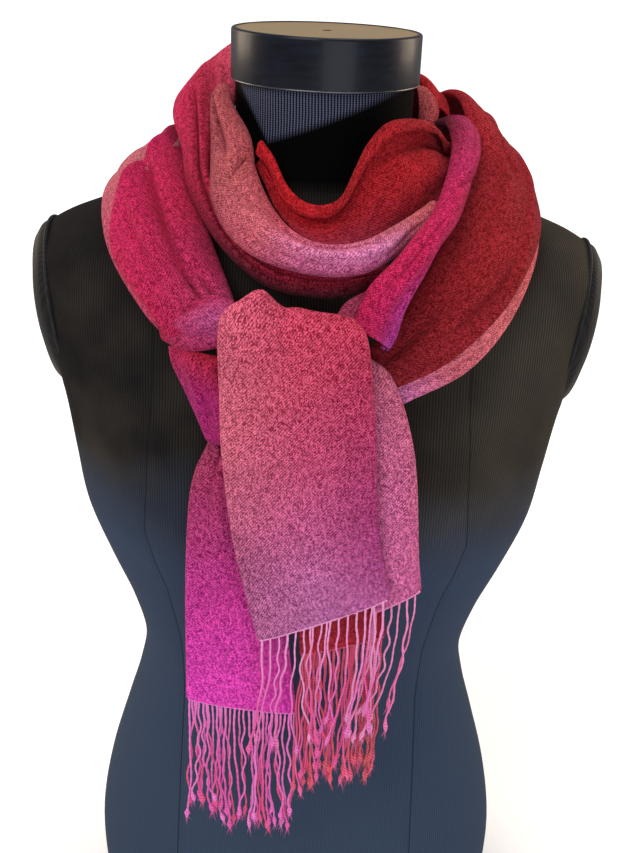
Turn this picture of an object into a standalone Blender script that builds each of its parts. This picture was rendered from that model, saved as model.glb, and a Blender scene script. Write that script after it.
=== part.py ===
"""A fringed scarf wound once round the neck of a tabletop dress form and loosely tied in front.

The form stands on the floor on its flat base. X runs to the viewer's right, Y away from the
viewer and Z up, and the origin is the middle of the base. Tables are in millimetres.
"""

import math

import bmesh
import bpy
import numpy as np

MM = 0.001

# The dress form
NECK_TOP = 669.0
CAP_RADIUS = 59.5
CAP_HEIGHT = 30.7
CAP_ROUND = 2.0
NODE_GAP = 0.3
TORSO_SIDES = 34
BUST_APART = 82.0
BUST_HEIGHT = 428.0
BUST_OUT = 22.0
BUST_WIDE = 44.0
BUST_TALL = 50.0
ARM_PLATE_TOP_X = 178.0
ARM_PLATE_LOW_X = 161.0
ARM_PLATE_TOP_Z = 573.0
ARM_PLATE_LOW_Z = 456.0
ARM_PLATE_DEEP = 44.0
ARM_PLATE_DOME = 17.0
ARM_CUT_WIDER = 0.6
ARM_SIDES = 24
ARM_DOME = ((0, 1.0), (0.35, 0.97), (0.65, 0.86), (0.88, 0.62), (0.98, 0.3))

# The cloth
WALL = 1.5
LIP_POINTS = 4
ROOT_GAP = 0.8
PLEAT_ROUND = 1.9
PLEAT_TUCK = 7.0
PLEAT_STEPS = 4

# The fringes
STRAND = 1.7
FRINGE_LONG = 104.0
FRINGE_SHORT = 84.0
FRINGE_STEPS = 4
LANE_APART = 2.4
ROOT_TALL = 2.6
ROOT_THICK = 2.2

# Form sections: height, half width, depth in front, depth behind, squareness
TORSO = (
    (0, 152, 96, 100, 2.25),
    (40, 158, 99, 104, 2.25),
    (90, 159, 100, 106, 2.25),
    (140, 151, 98, 100, 2.2),
    (190, 137, 94, 90, 2.2),
    (228, 126, 89, 80, 2.15),
    (262, 121, 86, 74, 2.1),
    (300, 130, 89, 76, 2.15),
    (340, 146, 95, 82, 2.2),
    (380, 160, 100, 88, 2.25),
    (420, 166, 102, 92, 2.3),
    (460, 172, 99, 94, 2.35),
    (500, 182, 93, 95, 2.35),
    (535, 189, 86, 93, 2.3),
    (556, 189, 80, 89, 2.2),
    (570, 181, 74, 84, 1.95),
    (579, 168, 69, 78, 1.8),
    (586, 152, 66, 74, 1.7),
    (592, 135, 65, 71, 1.65),
    (599, 111, 63, 69, 1.7),
    (606, 91, 61, 66, 1.75),
    (614, 75, 60, 63, 1.85),
    (623, 64, 58, 60, 1.95),
    (634, 58.5, 56.5, 57.5, 2.0),
    (648, 56.5, 56.5, 56.5, 2.0),
    (669, 56.5, 56.5, 56.5, 2.0),
)


def clear_scene():
    for obj in list(bpy.data.objects):
        bpy.data.objects.remove(obj, do_unlink=True)


def collection(name, hidden=False):
    made = bpy.data.collections.new(name)
    bpy.context.scene.collection.children.link(made)
    made.hide_render = hidden
    return made


def material(name, colour, roughness, metallic=0.0):
    made = bpy.data.materials.new(name)
    made.use_nodes = True
    shader = made.node_tree.nodes["Principled BSDF"]
    shader.inputs["Base Color"].default_value = (*colour, 1.0)
    shader.inputs["Roughness"].default_value = roughness
    shader.inputs["Metallic"].default_value = metallic
    return made


def mesh_object(name, points, faces, mat, into):
    """points in millimetres."""
    mesh = bpy.data.meshes.new(name)
    mesh.from_pydata([tuple(float(v) * MM for v in p) for p in points], [], faces)
    work = bmesh.new()
    work.from_mesh(mesh)
    bmesh.ops.recalc_face_normals(work, faces=work.faces)
    work.to_mesh(mesh)
    work.free()
    obj = bpy.data.objects.new(name, mesh)
    into.objects.link(obj)
    mesh.materials.append(mat)
    return obj


def through(rows):
    """Many rows on the smooth curve through a table's rows."""
    rows = np.asarray(rows, float)
    ends = np.vstack([2 * rows[0] - rows[1], rows, 2 * rows[-1] - rows[-2]])
    fine = []
    for i in range(len(rows) - 1):
        a, b, c, d = ends[i : i + 4]
        for t in np.linspace(0, 1, 12, endpoint=False):
            fine.append(
                0.5
                * (
                    2 * b
                    + (c - a) * t
                    + (2 * a - 5 * b + 4 * c - d) * t * t
                    + (3 * b - a - 3 * c + d) * t**3
                )
            )
    fine.append(rows[-1])
    return np.array(fine)


def evenly(fine, middle, steps):
    """Rows at equal steps along the path of the middle."""
    gone = np.concatenate([[0], np.cumsum(np.linalg.norm(np.diff(middle, axis=0), axis=1))])
    want = np.linspace(0, gone[-1], steps)
    return np.stack([np.interp(want, gone, fine[:, k]) for k in range(fine.shape[1])], axis=1)


def loft(rings):
    """Quads between rings of equal count, with an n-gon at each end."""
    count = len(rings[0])
    points = [p for ring in rings for p in ring]
    faces = []
    for i in range(len(rings) - 1):
        for j in range(count):
            k = (j + 1) % count
            faces.append((i * count + j, i * count + k, (i + 1) * count + k, (i + 1) * count + j))
    faces.append(tuple(range(count))[::-1])
    faces.append(tuple((len(rings) - 1) * count + j for j in range(count)))
    return points, faces


def torso_ring(height, half, front, behind, square):
    ring = []
    for j in range(TORSO_SIDES):
        angle = 2 * math.pi * j / TORSO_SIDES
        c, s = math.cos(angle), math.sin(angle)
        x = half * math.copysign(abs(c) ** (2 / square), c)
        depth = behind if s > 0 else front
        y = depth * math.copysign(abs(s) ** (2 / square), s)
        if s < 0:
            for side in (-1, 1):
                away = ((x - side * BUST_APART) / BUST_WIDE) ** 2
                away += ((height - BUST_HEIGHT) / BUST_TALL) ** 2
                y -= BUST_OUT * math.exp(-away) * min(1.0, -s * 1.6)
        ring.append((x, y, height))
    return ring


def arm_ring(side, far, share, wider, lean, mid_x, mid_z, tall):
    """An oval parallel to the arm opening, this far out from it."""
    ring = []
    for j in range(ARM_SIDES):
        angle = side * 2 * math.pi * j / ARM_SIDES
        deep = (share * ARM_PLATE_DEEP + wider) * math.cos(angle)
        up = (share * tall / 2 + wider) * math.sin(angle)
        x = mid_x + far * math.cos(lean) + up * math.sin(lean)
        z = mid_z - far * math.sin(lean) + up * math.cos(lean)
        ring.append((side * x, deep, z))
    return ring


def build_form(into, cutters, jersey, shiny):
    heights = [TORSO[0][0]]
    for low, high in zip(TORSO, TORSO[1:]):
        if high[0] - low[0] > 30:
            heights.append((low[0] + high[0]) / 2)
        heights.append(high[0])
    fine = through(TORSO)
    rings = []
    for height in heights:
        values = [np.interp(height, fine[:, 0], fine[:, k]) for k in range(1, 5)]
        rings.append(torso_ring(height, *values))
    points, faces = loft(rings)
    torso = mesh_object("form_torso", points, faces, jersey, into)

    lean = math.atan2(ARM_PLATE_TOP_X - ARM_PLATE_LOW_X, ARM_PLATE_TOP_Z - ARM_PLATE_LOW_Z)
    mid_x = (ARM_PLATE_TOP_X + ARM_PLATE_LOW_X) / 2
    mid_z = (ARM_PLATE_TOP_Z + ARM_PLATE_LOW_Z) / 2
    tall = math.hypot(ARM_PLATE_TOP_X - ARM_PLATE_LOW_X, ARM_PLATE_TOP_Z - ARM_PLATE_LOW_Z)
    for side, name in ((-1, "left"), (1, "right")):
        rings = []
        for far in (0, 60):
            rings.append(arm_ring(side, far, 1.0, ARM_CUT_WIDER, lean, mid_x, mid_z, tall))
        points, faces = loft(rings)
        cutter = mesh_object("arm_cut_" + name, points, faces, jersey, cutters)
        cutter.hide_render = True
        cutter.display_type = "WIRE"
        cut = torso.modifiers.new("arm_" + name, "BOOLEAN")
        cut.operation = "DIFFERENCE"
        cut.solver = "EXACT"
        cut.object = cutter
        rings = []
        for out, share in ARM_DOME:
            far = NODE_GAP + out * ARM_PLATE_DOME
            rings.append(arm_ring(side, far, share, 0.0, lean, mid_x, mid_z, tall))
        points, faces = loft(rings)
        mesh_object("arm_cap_" + name, points, faces, jersey, into)

    bpy.ops.mesh.primitive_cylinder_add(
        vertices=36,
        radius=CAP_RADIUS * MM,
        depth=CAP_HEIGHT * MM,
        location=(0, 0, (NECK_TOP + NODE_GAP + CAP_HEIGHT / 2) * MM),
    )
    cap = bpy.context.object
    cap.name = "neck_cap"
    cap.data.name = "neck_cap"
    for old in list(cap.users_collection):
        old.objects.unlink(cap)
    into.objects.link(cap)
    cap.data.materials.append(shiny)
    edge = cap.modifiers.new("edge", "BEVEL")
    edge.width = CAP_ROUND * MM
    edge.segments = 2
    edge.limit_method = "ANGLE"


# How a stretch is shaped, in one place
# rows: upper or left edge x, y, z, then lower or right edge x, y, z, then how far the middle bows
# out, then, on a stretch that is pleated once along its length, how far across the pleat's fold is
# folds: place across 0 to 1, height, half width 0 to 1, start and end along 0 to 1
# lips: how far each long edge turns under, as radius and length, upper edge first
# peaks: place across 0 to 1, how much the cloth is raised, half width 0 to 1, end along 0 to 1


def half_round(centre, height, radius, start, turn):
    """Points on half a circle, from a start angle, each as across and outward."""
    made = []
    for k in range(LIP_POINTS):
        angle = math.radians(start + turn * k / (LIP_POINTS - 1))
        made.append((centre + radius * math.cos(angle), height + radius * math.sin(angle)))
    return made


def section(width, lips, count, pleat):
    """Across and outward positions of one section: its edges turned under, and perhaps a pleat."""
    (r0, l0), (r1, l1) = lips
    turned = []
    if r0:
        turned.append((r0 + l0, -2 * r0))
        turned += half_round(r0, -r0, r0, 270, -180)
    else:
        turned.append((0.0, 0.0))
    if pleat:
        fold = pleat * width
        raised = 4 * PLEAT_ROUND
        main = [(a, raised * (a / fold) ** 2) for a in np.linspace(r0, fold, count)[1:-1]]
        main += half_round(fold, 3 * PLEAT_ROUND, PLEAT_ROUND, 90, -180)
        main += half_round(fold - PLEAT_TUCK, PLEAT_ROUND, PLEAT_ROUND, 90, 180)
        main += [(a, 0.0) for a in np.linspace(fold - PLEAT_TUCK, width - r1, PLEAT_STEPS)[1:-1]]
    else:
        main = [(a, 0.0) for a in np.linspace(r0, width - r1, count)[1:-1]]
    other = []
    if r1:
        other += half_round(width - r1, -r1, r1, 90, -180)
        other.append((width - r1 - l1, -2 * r1))
    else:
        other.append((width, 0.0))
    return turned + main + other


def stretch(name, rows, folds, lips, along, across, out, mat, into, peaks=()):
    fine = through(rows)
    fine = evenly(fine, (fine[:, :3] + fine[:, 3:6]) / 2, along)
    one, two, bow = fine[:, :3], fine[:, 3:6], fine[:, 6]
    pleats = fine[:, 7] if fine.shape[1] > 7 else np.zeros(along)
    middle = (one + two) / 2
    forward = np.gradient(middle, axis=0)
    forward /= np.linalg.norm(forward, axis=1)[:, None]
    points = []
    count = 0
    for i in range(along):
        t = i / (along - 1)
        width = np.linalg.norm(two[i] - one[i])
        side = (two[i] - one[i]) / width
        normal = np.cross(forward[i], side) * out
        normal /= np.linalg.norm(normal)
        profile = section(width, lips, across, pleats[i])
        count = len(profile)
        for a, h in profile:
            s = min(max(a / width, 0.0), 1.0)
            lift = bow[i] * (4 * s * (1 - s)) ** 0.8
            for place, tall, wide, start, end in folds:
                window = math.sin(math.pi * min(max((t - start) / (end - start), 0), 1)) ** 0.6
                lift += tall * window * math.exp(-(((s - place) / wide) ** 2))
            point = one[i] + side * a + normal * (h + lift)
            for place, tall, wide, end in peaks:
                window = 0.5 * (1 + math.cos(math.pi * min(t / end, 1.0)))
                point[2] += tall * window * math.exp(-(((s - place) / wide) ** 2))
            points.append(point)
    faces = []
    for i in range(along - 1):
        for j in range(count - 1):
            quad = (i * count + j, (i + 1) * count + j, (i + 1) * count + j + 1, i * count + j + 1)
            faces.append(quad if out < 0 else quad[::-1])
    mesh = bpy.data.meshes.new(name)
    mesh.from_pydata([tuple(float(v) * MM for v in p) for p in points], [], faces)
    obj = bpy.data.objects.new(name, mesh)
    into.objects.link(obj)
    mesh.materials.append(mat)
    shell = obj.modifiers.new("wall", "SOLIDIFY")
    shell.thickness = WALL * MM
    shell.offset = -1.0
    return obj


# The outer loop, from the knot over the left shoulder, behind the neck and down to the knot
OUTER_WRAP = (
    (-46, -112, 556, -84, -117, 542, 6, 0.9),
    (-51, -100, 565, -101, -110, 551, 9, 0.9),
    (-65, -76, 585, -124, -76, 571, 12, 0.9),
    (-77, -41, 606, -137, -36, 590, 13, 0.9),
    (-86, -2, 621, -139, 0, 599, 13, 0.8),
    (-86, 32, 627, -125, 42, 602, 12, 0.6),
    (-60, 80, 632, -90, 95, 582, 10, 0.6),
    (0, 100, 634, 0, 121, 560, 8, 0.6),
    (62, 89, 638, 94, 102, 588, 8, 0.7),
    (88, 46, 652, 118, 50, 614, 8, 0.8),
    (98, 16, 646, 125, 16, 615, 8, 0.9),
    (94, -9, 628, 137, -10, 601, 10, 0.9),
    (82, -48, 604, 138, -48, 580, 9, 0.9),
    (70, -84, 576, 121, -84, 548, 8, 0.8),
    (48, -110, 547, 93, -111, 521, 6, 0.7),
    (32, -120, 532, 55, -124, 503, 3, 0.6),
)
OUTER_FOLDS = (
    (0.3, 4, 0.1, 0.0, 0.45),
    (0.62, 5, 0.1, 0.02, 0.4),
    (0.5, 5, 0.12, 0.35, 0.7),
    (0.45, 3, 0.1, 0.62, 1.0),
    (0.8, 3, 0.06, 0.6, 1.0),
    (0.84, -4, 0.05, 0.18, 0.36),
)

# The band that starts under the roll, runs up the left of the neck and stands behind it
COLLAR = (
    (44, -97, 579, 50, -103, 570, 2),
    (26, -103, 577, 30, -109, 566, 3),
    (4, -105, 575, 3, -112, 563, 4),
    (-22, -101, 580, -29, -107, 567, 5),
    (-44, -82.8, 591.1, -56, -88.8, 584.1, 6),
    (-58, -53.8, 610.1, -79, -55.8, 609.1, 7),
    (-64, -23.8, 632.1, -88, -21.8, 629.1, 7),
    (-65, 8.2, 655.1, -98, 12.2, 644.1, 7),
    (-64, 36.2, 675.1, -95, 49.2, 642.1, 8),
    (-45, 61.2, 686.1, -66, 79.2, 638.1, 7),
    (0, 75.2, 680.1, 0, 90.2, 634.1, 5),
    (46, 66.2, 666.1, 60, 79.2, 634.1, 5),
    (66, 42.2, 660.1, 82, 50.2, 634.1, 4),
    (73, 20.2, 653.1, 88, 24.2, 632.1, 3),
)
COLLAR_FOLDS = (
    (0.2, 4.5, 0.08, 0.08, 0.72),
    (0.36, -3, 0.06, 0.1, 0.7),
    (0.5, 5, 0.08, 0.12, 0.75),
    (0.66, -3, 0.06, 0.15, 0.66),
    (0.8, 4, 0.08, 0.15, 0.66),
    (0.45, 3, 0.1, 0.7, 1.0),
)

# The narrow fold between the neck and the right drape
NECK_FOLD = (
    (58.9, 35.8, 662, 61.9, 37.8, 652, 1),
    (61.9, 23.8, 659, 65.9, 24.8, 649, 1),
    (63.1, 13.1, 655, 68.1, 12.1, 646, 1),
    (62.1, 5.1, 652, 67.1, 3.1, 644, 1),
)

# The red drape between the neck and the roll
DRAPE = (
    (85, -6, 630, 88, -14, 622, 2),
    (70, -25, 638, 83, -31, 614, 5),
    (60, -40, 651, 76, -50, 607, 11),
    (47, -50, 654, 63, -62, 600, 14),
    (36, -59, 652, 52, -76, 595, 14),
    (27, -67, 642, 41, -91, 594, 11),
    (20, -76, 627, 28, -99, 592, 6),
    (13, -85, 613, 14, -104, 591, 4),
    (2, -89, 608, 0, -106, 593, 3),
    (-10, -86, 610, -13, -98, 598, 3),
    (-20, -76, 619, -25, -82, 606, 3),
    (-28, -61, 631, -33, -66, 617, 3),
    (-34.6, -50.9, 637.7, -39.6, -53.9, 625.7, 2),
)
DRAPE_FOLDS = (
    (0.1, 2.5, 0.08, 0.05, 0.5),
    (0.27, -5, 0.09, 0.08, 0.45),
    (0.66, 3, 0.16, 0.1, 0.6),
)

# The salmon roll: down the left of the neck and across the front
ROLL = (
    (-63, -8, 666, -70, -12, 655, 2),
    (-57, -31, 657, -68, -30.5, 646.5, 5),
    (-45, -50, 643, -66, -55.1, 627.1, 6),
    (-40, -66, 628, -63, -83.1, 613.1, 7),
    (-31, -88, 614, -53, -101.5, 598.5, 7),
    (-19, -106, 603, -37, -117, 589, 7),
    (-3, -117, 596, -14, -126, 583, 7),
    (14, -118, 595, 12, -128, 581, 6),
    (31, -112, 598, 34, -121, 584, 6),
    (47, -91, 602, 52, -100, 591, 5),
    (58, -80, 608, 62, -87, 597, 3),
)
ROLL_FOLDS = (
    (0.45, 2, 0.18, 0.1, 0.9),
    (0.2, -2, 0.07, 0.3, 0.9),
)

# The magenta roll at the right, and the small fold that shows beside it
RIGHT_ROLL = (
    (68, 13, 641, 79, 24, 641, 2),
    (73, 3, 647, 92, 11, 646, 4),
    (77, -11, 649.3, 101, -6, 642, 6),
    (78, -31, 639.3, 101, -26, 631, 6),
    (73, -57, 624, 91, -53, 618, 6),
    (65, -87, 610, 81, -83, 605, 5),
    (56, -109, 599, 74, -103, 593, 5),
    (45, -123, 588, 66, -118, 580, 5),
    (32, -131, 575, 55, -127, 563, 5),
    (26.2, -134.4, 561, 48, -132, 546, 3),
    (25.2, -138.4, 552, 43, -137, 541, 2),
)
UNDER_FOLD = (
    (42, -116, 572, 51, -115, 563, 2),
    (29, -118, 568, 43, -117, 556, 3),
    (18.2, -123.2, 562.9, 34.2, -123.2, 549.9, 3),
    (13.2, -126.2, 555.9, 26.2, -126.2, 544.9, 2),
)

# The knot
KNOT_TOP = (
    (-42, -126.5, 561, -44, -142.5, 544, 5),
    (-57, -125, 557, -57, -139, 539, 6),
    (-73, -124.2, 549, -74, -133, 534, 5),
    (-87, -118.7, 541.4, -87, -122, 535, 3),
)
KNOT_BODY = (
    (-84, -124, 528.5, -38, -132.1, 524.5, 5),
    (-81, -128, 524, -37.5, -136.5, 519.2, 8),
    (-74, -131, 510, -37.5, -139.5, 506.2, 8),
    (-66, -133, 493, -38.5, -140.5, 491.2, 7),
    (-61, -133, 480, -42, -138.3, 479, 5),
)

# The tails
FRONT_TAIL = (
    (-34, -128, 546, 20, -128, 542, 1),
    (-38, -137, 561, 22, -136, 560, 1),
    (-44, -145, 560, 27, -144, 559, 2),
    (-51, -150, 546, 31, -150, 546, 4),
    (-51, -152, 522, 35, -152, 520, 4),
    (-49, -155, 480, 39, -155, 478, 4),
    (-43, -157, 430, 43, -157, 434, 4),
    (-35, -158, 392, 48, -158, 410, 4),
    (-26, -158, 355, 52, -158, 389, 3),
)
SIDE_TAIL = (
    (8, -130.2, 537.4, 31, -130.2, 533.4, 2),
    (14, -136.9, 528, 42, -136.9, 528, 3),
    (20, -139, 514, 51, -139, 513, 3),
    (28, -142, 488, 59, -142, 489, 3),
    (34, -144, 460, 64, -144, 463, 3),
    (40, -146, 410, 69, -146, 411, 3),
    (44, -147, 372, 72, -147, 389, 2),
)
INNER_TAIL = (
    (-12, -133.3, 520, 26, -133.3, 520, 3),
    (-10, -135.2, 470, 38, -135.2, 470, 3),
    (-6, -137.7, 420, 46, -137.7, 422, 3),
    (0, -139.4, 340, 53, -139.4, 358, 2),
)
LEFT_TAIL = (
    (-54.3, -125.2, 489.2, -44.3, -125.2, 489.2, 1),
    (-60.3, -131.2, 472.2, -39.3, -131.2, 473.2, 3),
    (-67, -134.5, 456, -36, -134.5, 457, 5),
    (-71, -135.5, 430, -33, -135.5, 430, 4),
    (-73, -136, 375, -26, -136, 375, 3),
    (-73, -136, 330, -18, -136, 330, 3),
    (-73, -136, 290, -4, -136, 284, 3),
)
FRONT_FOLDS = (
    (0.24, 2, 0.1, 0.0, 0.3),
    (0.35, 1.5, 0.2, 0.2, 0.9),
    (0.75, 1.5, 0.15, 0.2, 1.0),
)
FRONT_PEAKS = (
    (0.19, 13, 0.1, 0.24),
    (0.1, 4, 0.08, 0.2),
)
TAIL_FOLDS = ((0.35, 2, 0.2, 0.1, 0.9), (0.75, 1.5, 0.15, 0.2, 1.0))
KNOT_FOLDS = ((0.3, 3, 0.14, 0.0, 1.0), (0.62, 2.5, 0.12, 0.1, 1.0))


def fringe(name, hem, count, sway, lean, seed, mat, into):
    """Yarns hung from a narrow strip that lies along a hem, all one mesh."""
    one = np.array(hem[:3], float)
    two = np.array(hem[3:6], float)
    width = np.linalg.norm(two - one)
    across = (two - one) / width
    down = np.array((across[2], 0.0, -across[0]))
    edges = []
    lane = width / count
    for i in range(count):
        middle = (i + 0.5) * lane
        edges += [middle - STRAND / 2, middle + STRAND / 2]
    edges = [0.4] + edges + [width - 0.4]
    points = []
    for a in edges:
        s = a / width
        lift = hem[6] * (4 * s * (1 - s)) ** 0.8
        base = one + across * a + np.array((0.0, -lift, 0.0)) + down * ROOT_GAP
        for deep, low in ((0, 0), (ROOT_THICK, 0), (ROOT_THICK, ROOT_TALL), (0, ROOT_TALL)):
            points.append(base + np.array((0.0, deep - 0.3, 0.0)) + down * low)
    faces = [(0, 1, 2, 3), tuple(4 * len(edges) - 4 + k for k in (3, 2, 1, 0))]
    rng = np.random.default_rng(seed)
    phase = rng.uniform(0, 6.28)
    for i in range(len(edges) - 1):
        a, b = 4 * i, 4 * i + 4
        faces.append((a, b, b + 1, a + 1))
        faces.append((a + 1, b + 1, b + 2, a + 2))
        faces.append((a + 3, b + 3, b, a))
        if i % 2 == 0:
            faces.append((a + 2, b + 2, b + 3, a + 3))
            continue
        index = (i - 1) // 2
        ring = (a + 2, b + 2, b + 3, a + 3)
        corners = [points[k] for k in ring]
        centre = sum(corners) / 4
        length = rng.uniform(FRINGE_SHORT, FRINGE_LONG)
        swing = phase + index * 0.55 + rng.uniform(-0.35, 0.35)
        depth = LANE_APART * (1 if index % 2 else -1)
        tip = rng.uniform(-0.8, 0.8)
        for step in range(1, FRINGE_STEPS + 1):
            t = step / FRINGE_STEPS
            move = np.array((
                sway * math.sin(swing + 4.2 * t) * t + lean * t * t + tip * t,
                depth * min(1.0, 2.5 * t) + 0.6 * math.sin(swing * 2 + 5 * t),
                -length * t,
            ))
            size = STRAND / 2 if step < FRINGE_STEPS else STRAND * 0.7
            fresh = []
            for dx, dy in ((-1, 1), (1, 1), (1, -1), (-1, -1)):
                fresh.append(len(points))
                points.append(centre + move + np.array((dx * size, dy * size, 0.0)))
            for k in range(4):
                m = (k + 1) % 4
                faces.append((ring[k], ring[m], fresh[m], fresh[k]))
            ring = tuple(fresh)
        faces.append(ring)
    return mesh_object(name, points, faces, mat, into)


def build_scarf(into, mats):
    roll = (2.6, 4)
    flat = (0, 0)
    stretch("outer_wrap", OUTER_WRAP, OUTER_FOLDS, ((2.6, 4), (2.2, 6)), 31, 7, 1, mats["magenta"], into)
    stretch("collar_wrap", COLLAR, COLLAR_FOLDS, (roll, roll), 29, 7, 1, mats["crimson"], into)
    stretch("neck_fold", NECK_FOLD, (), (flat, flat), 7, 5, 1, mats["salmon"], into)
    stretch("cowl_drape", DRAPE, DRAPE_FOLDS, ((2.4, 5), flat), 17, 10, -1, mats["red"], into)
    stretch("cowl_roll", ROLL, ROLL_FOLDS, (roll, roll), 17, 5, -1, mats["salmon"], into)
    stretch("right_roll", RIGHT_ROLL, (), ((2.2, 1), (2.2, 1)), 16, 5, 1, mats["magenta"], into)
    stretch("right_under_fold", UNDER_FOLD, (), (flat, flat), 7, 5, 1, mats["mauve"], into)
    stretch("knot_top_fold", KNOT_TOP, (), (flat, (2.2, 2)), 7, 5, 1, mats["mauve"], into)
    stretch("knot_body", KNOT_BODY, KNOT_FOLDS, ((2.2, 3), flat), 9, 8, 1, mats["magenta"], into)
    stretch("front_tail", FRONT_TAIL, FRONT_FOLDS, ((2.4, 6), (2.4, 6)), 21, 10, 1, mats["rose"], into,
            FRONT_PEAKS)
    stretch("side_tail", SIDE_TAIL, (), (flat, (2.4, 4)), 11, 5, 1, mats["pink"], into)
    stretch("inner_tail", INNER_TAIL, (), (flat, flat), 7, 6, 1, mats["red"], into)
    stretch("left_tail", LEFT_TAIL, TAIL_FOLDS, ((2.4, 5), flat), 15, 7, 1, mats["magenta"], into)
    fringe("fringe_front", FRONT_TAIL[-1], 15, 4.0, 0.0, 3, mats["pink"], into)
    fringe("fringe_side", SIDE_TAIL[-1], 6, 3.0, -9.0, 5, mats["pink"], into)
    fringe("fringe_inner", INNER_TAIL[-1], 18, 3.0, 0.0, 8, mats["red"], into)
    fringe("fringe_left", LEFT_TAIL[-1], 24, 3.0, 3.0, 13, mats["magenta"], into)


def main():
    clear_scene()
    form = collection("dress_form")
    scarf = collection("scarf")
    cutters = collection("cutters", hidden=True)
    jersey = material("form_jersey", (0.02, 0.02, 0.022), 0.75)
    shiny = material("neck_cap_metal", (0.05, 0.05, 0.055), 0.25, 0.9)
    mats = {
        "magenta": material("scarf_magenta", (0.45, 0.01, 0.13), 0.8),
        "crimson": material("scarf_crimson", (0.45, 0.01, 0.05), 0.8),
        "red": material("scarf_red", (0.45, 0.01, 0.015), 0.8),
        "salmon": material("scarf_salmon", (0.6, 0.15, 0.18), 0.8),
        "mauve": material("scarf_mauve", (0.5, 0.2, 0.4), 0.8),
        "rose": material("scarf_rose", (0.6, 0.1, 0.2), 0.8),
        "pink": material("scarf_pink", (0.7, 0.2, 0.35), 0.8),
    }
    build_form(form, cutters, jersey, shiny)
    build_scarf(scarf, mats)


main()
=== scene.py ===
"""The fringed scarf on its dress form, as it looks: cloth, yarns, jersey, cap, light and camera.

The scarf's cloth is made stretch by stretch, each a thin sheet swept between two edges, and
the tables that shape and colour a stretch stand together. Tables are in millimetres.
"""

import math

import bmesh
import bpy
import numpy as np
from mathutils import Matrix, Vector


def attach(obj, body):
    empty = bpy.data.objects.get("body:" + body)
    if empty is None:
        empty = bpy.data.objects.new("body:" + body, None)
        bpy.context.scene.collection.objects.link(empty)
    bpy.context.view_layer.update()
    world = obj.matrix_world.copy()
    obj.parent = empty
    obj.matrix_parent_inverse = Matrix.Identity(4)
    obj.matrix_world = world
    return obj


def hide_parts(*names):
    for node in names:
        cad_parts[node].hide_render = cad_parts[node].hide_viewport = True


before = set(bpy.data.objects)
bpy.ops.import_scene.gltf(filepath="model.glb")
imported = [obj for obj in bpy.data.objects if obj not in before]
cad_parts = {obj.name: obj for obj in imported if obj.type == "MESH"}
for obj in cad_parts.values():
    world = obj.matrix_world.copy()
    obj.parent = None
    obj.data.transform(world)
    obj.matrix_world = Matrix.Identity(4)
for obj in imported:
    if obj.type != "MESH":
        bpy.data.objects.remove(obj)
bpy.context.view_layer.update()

MM = 0.001

# The photograph's view: where the lens is, how far it looks down, how far it is turned
PHOTO_TALL = 853
SENSOR = 36.0
EYE = (0.0063, -0.7426, 0.7610)
LOOK_DOWN = math.radians(24.0)
TURNED = math.radians(2.5)
FOCAL_PIXELS = 1134.0

# The dress form
NECK_TOP = 669.0
CAP_RADIUS = 59.5
CAP_HEIGHT = 30.7
CAP_EDGE = 1.6
CAP_LIP = 1.2
CAP_STEP = 0.6
CAP_DISH_IN = 53.5
CAP_DISH_DEEP = 2.5
NODE_GAP = 0.3
BUST_APART = 82.0
BUST_HEIGHT = 428.0
BUST_OUT = 22.0
BUST_WIDE = 44.0
BUST_TALL = 50.0
ARM_PLATE_TOP_X = 178.0
ARM_PLATE_LOW_X = 161.0
ARM_PLATE_TOP_Z = 573.0
ARM_PLATE_LOW_Z = 456.0
ARM_PLATE_DEEP = 44.0
ARM_PLATE_DOME = 17.0
ARM_CUT_WIDER = 0.6
ARM_CUT_DEEP = 60
ARM_SIDES = 64
PIPING_THICK = 1.3
TORSO_SIDES = 168
TORSO_RINGS = 150

# The torso's seams: their names, and the places of the side, neck and hem seams
SEAMS = ("seam_upright", "seam_middle", "seam_level")
SIDE_SEAM = 4.0
NECK_SEAM = 612.0
HEM_SEAM = 7.0
NO_SEAM = 99.0

# Where the painted pool of light on the neck reaches lowest, with a painted shadow of the scarf and
# cap below it, in metres
LIT_PATCH_X = -0.033
LIT_PATCH_Z = 0.636

# The cloth
WALL = 1.0
LIP_POINTS = 8
PLEAT_ROUND = 1.6
PLEAT_TUCK = 7.0
WRAP_THREADS = 1650.0
TAIL_THREADS = 1600.0

# The yarns
YARN = 0.66
PLY_TURN = 4.2
FRINGE_LONG = 104.0
FRINGE_SHORT = 84.0
LANE_APART = 2.4
YARN_SIDES = 8
YARN_STEPS = 64
YARN_KNOT = 0.95
HAIRS = 5
HAIR = 0.34
HEM_STEPS = 60


def place_camera():
    lens = bpy.data.cameras.new("camera")
    lens.sensor_width = SENSOR
    lens.lens = FOCAL_PIXELS / PHOTO_TALL * SENSOR
    lens.clip_start = 0.02
    lens.clip_end = 60.0
    camera = bpy.data.objects.new("camera", lens)
    bpy.context.scene.collection.objects.link(camera)
    ahead = Vector((0.0, math.cos(LOOK_DOWN), -math.sin(LOOK_DOWN)))
    level = Vector((1.0, 0.0, 0.0))
    over = Vector((0.0, math.sin(LOOK_DOWN), math.cos(LOOK_DOWN)))
    right = math.cos(TURNED) * level + math.sin(TURNED) * over
    up = -math.sin(TURNED) * level + math.cos(TURNED) * over
    camera.matrix_world = Matrix((
        (right.x, up.x, -ahead.x, EYE[0]),
        (right.y, up.y, -ahead.y, EYE[1]),
        (right.z, up.z, -ahead.z, EYE[2]),
        (0.0, 0.0, 0.0, 1.0),
    ))
    bpy.context.scene.camera = camera


# Small tools for the materials


def linear(colour):
    """Eight-bit display colour to the linear colour that a shader takes."""
    share = np.asarray(colour, float) / 255.0
    return np.where(share <= 0.04045, share / 12.92, ((share + 0.055) / 1.055) ** 2.4)


def shade(colour):
    return (*[float(v) for v in linear(colour)], 1.0)


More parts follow.
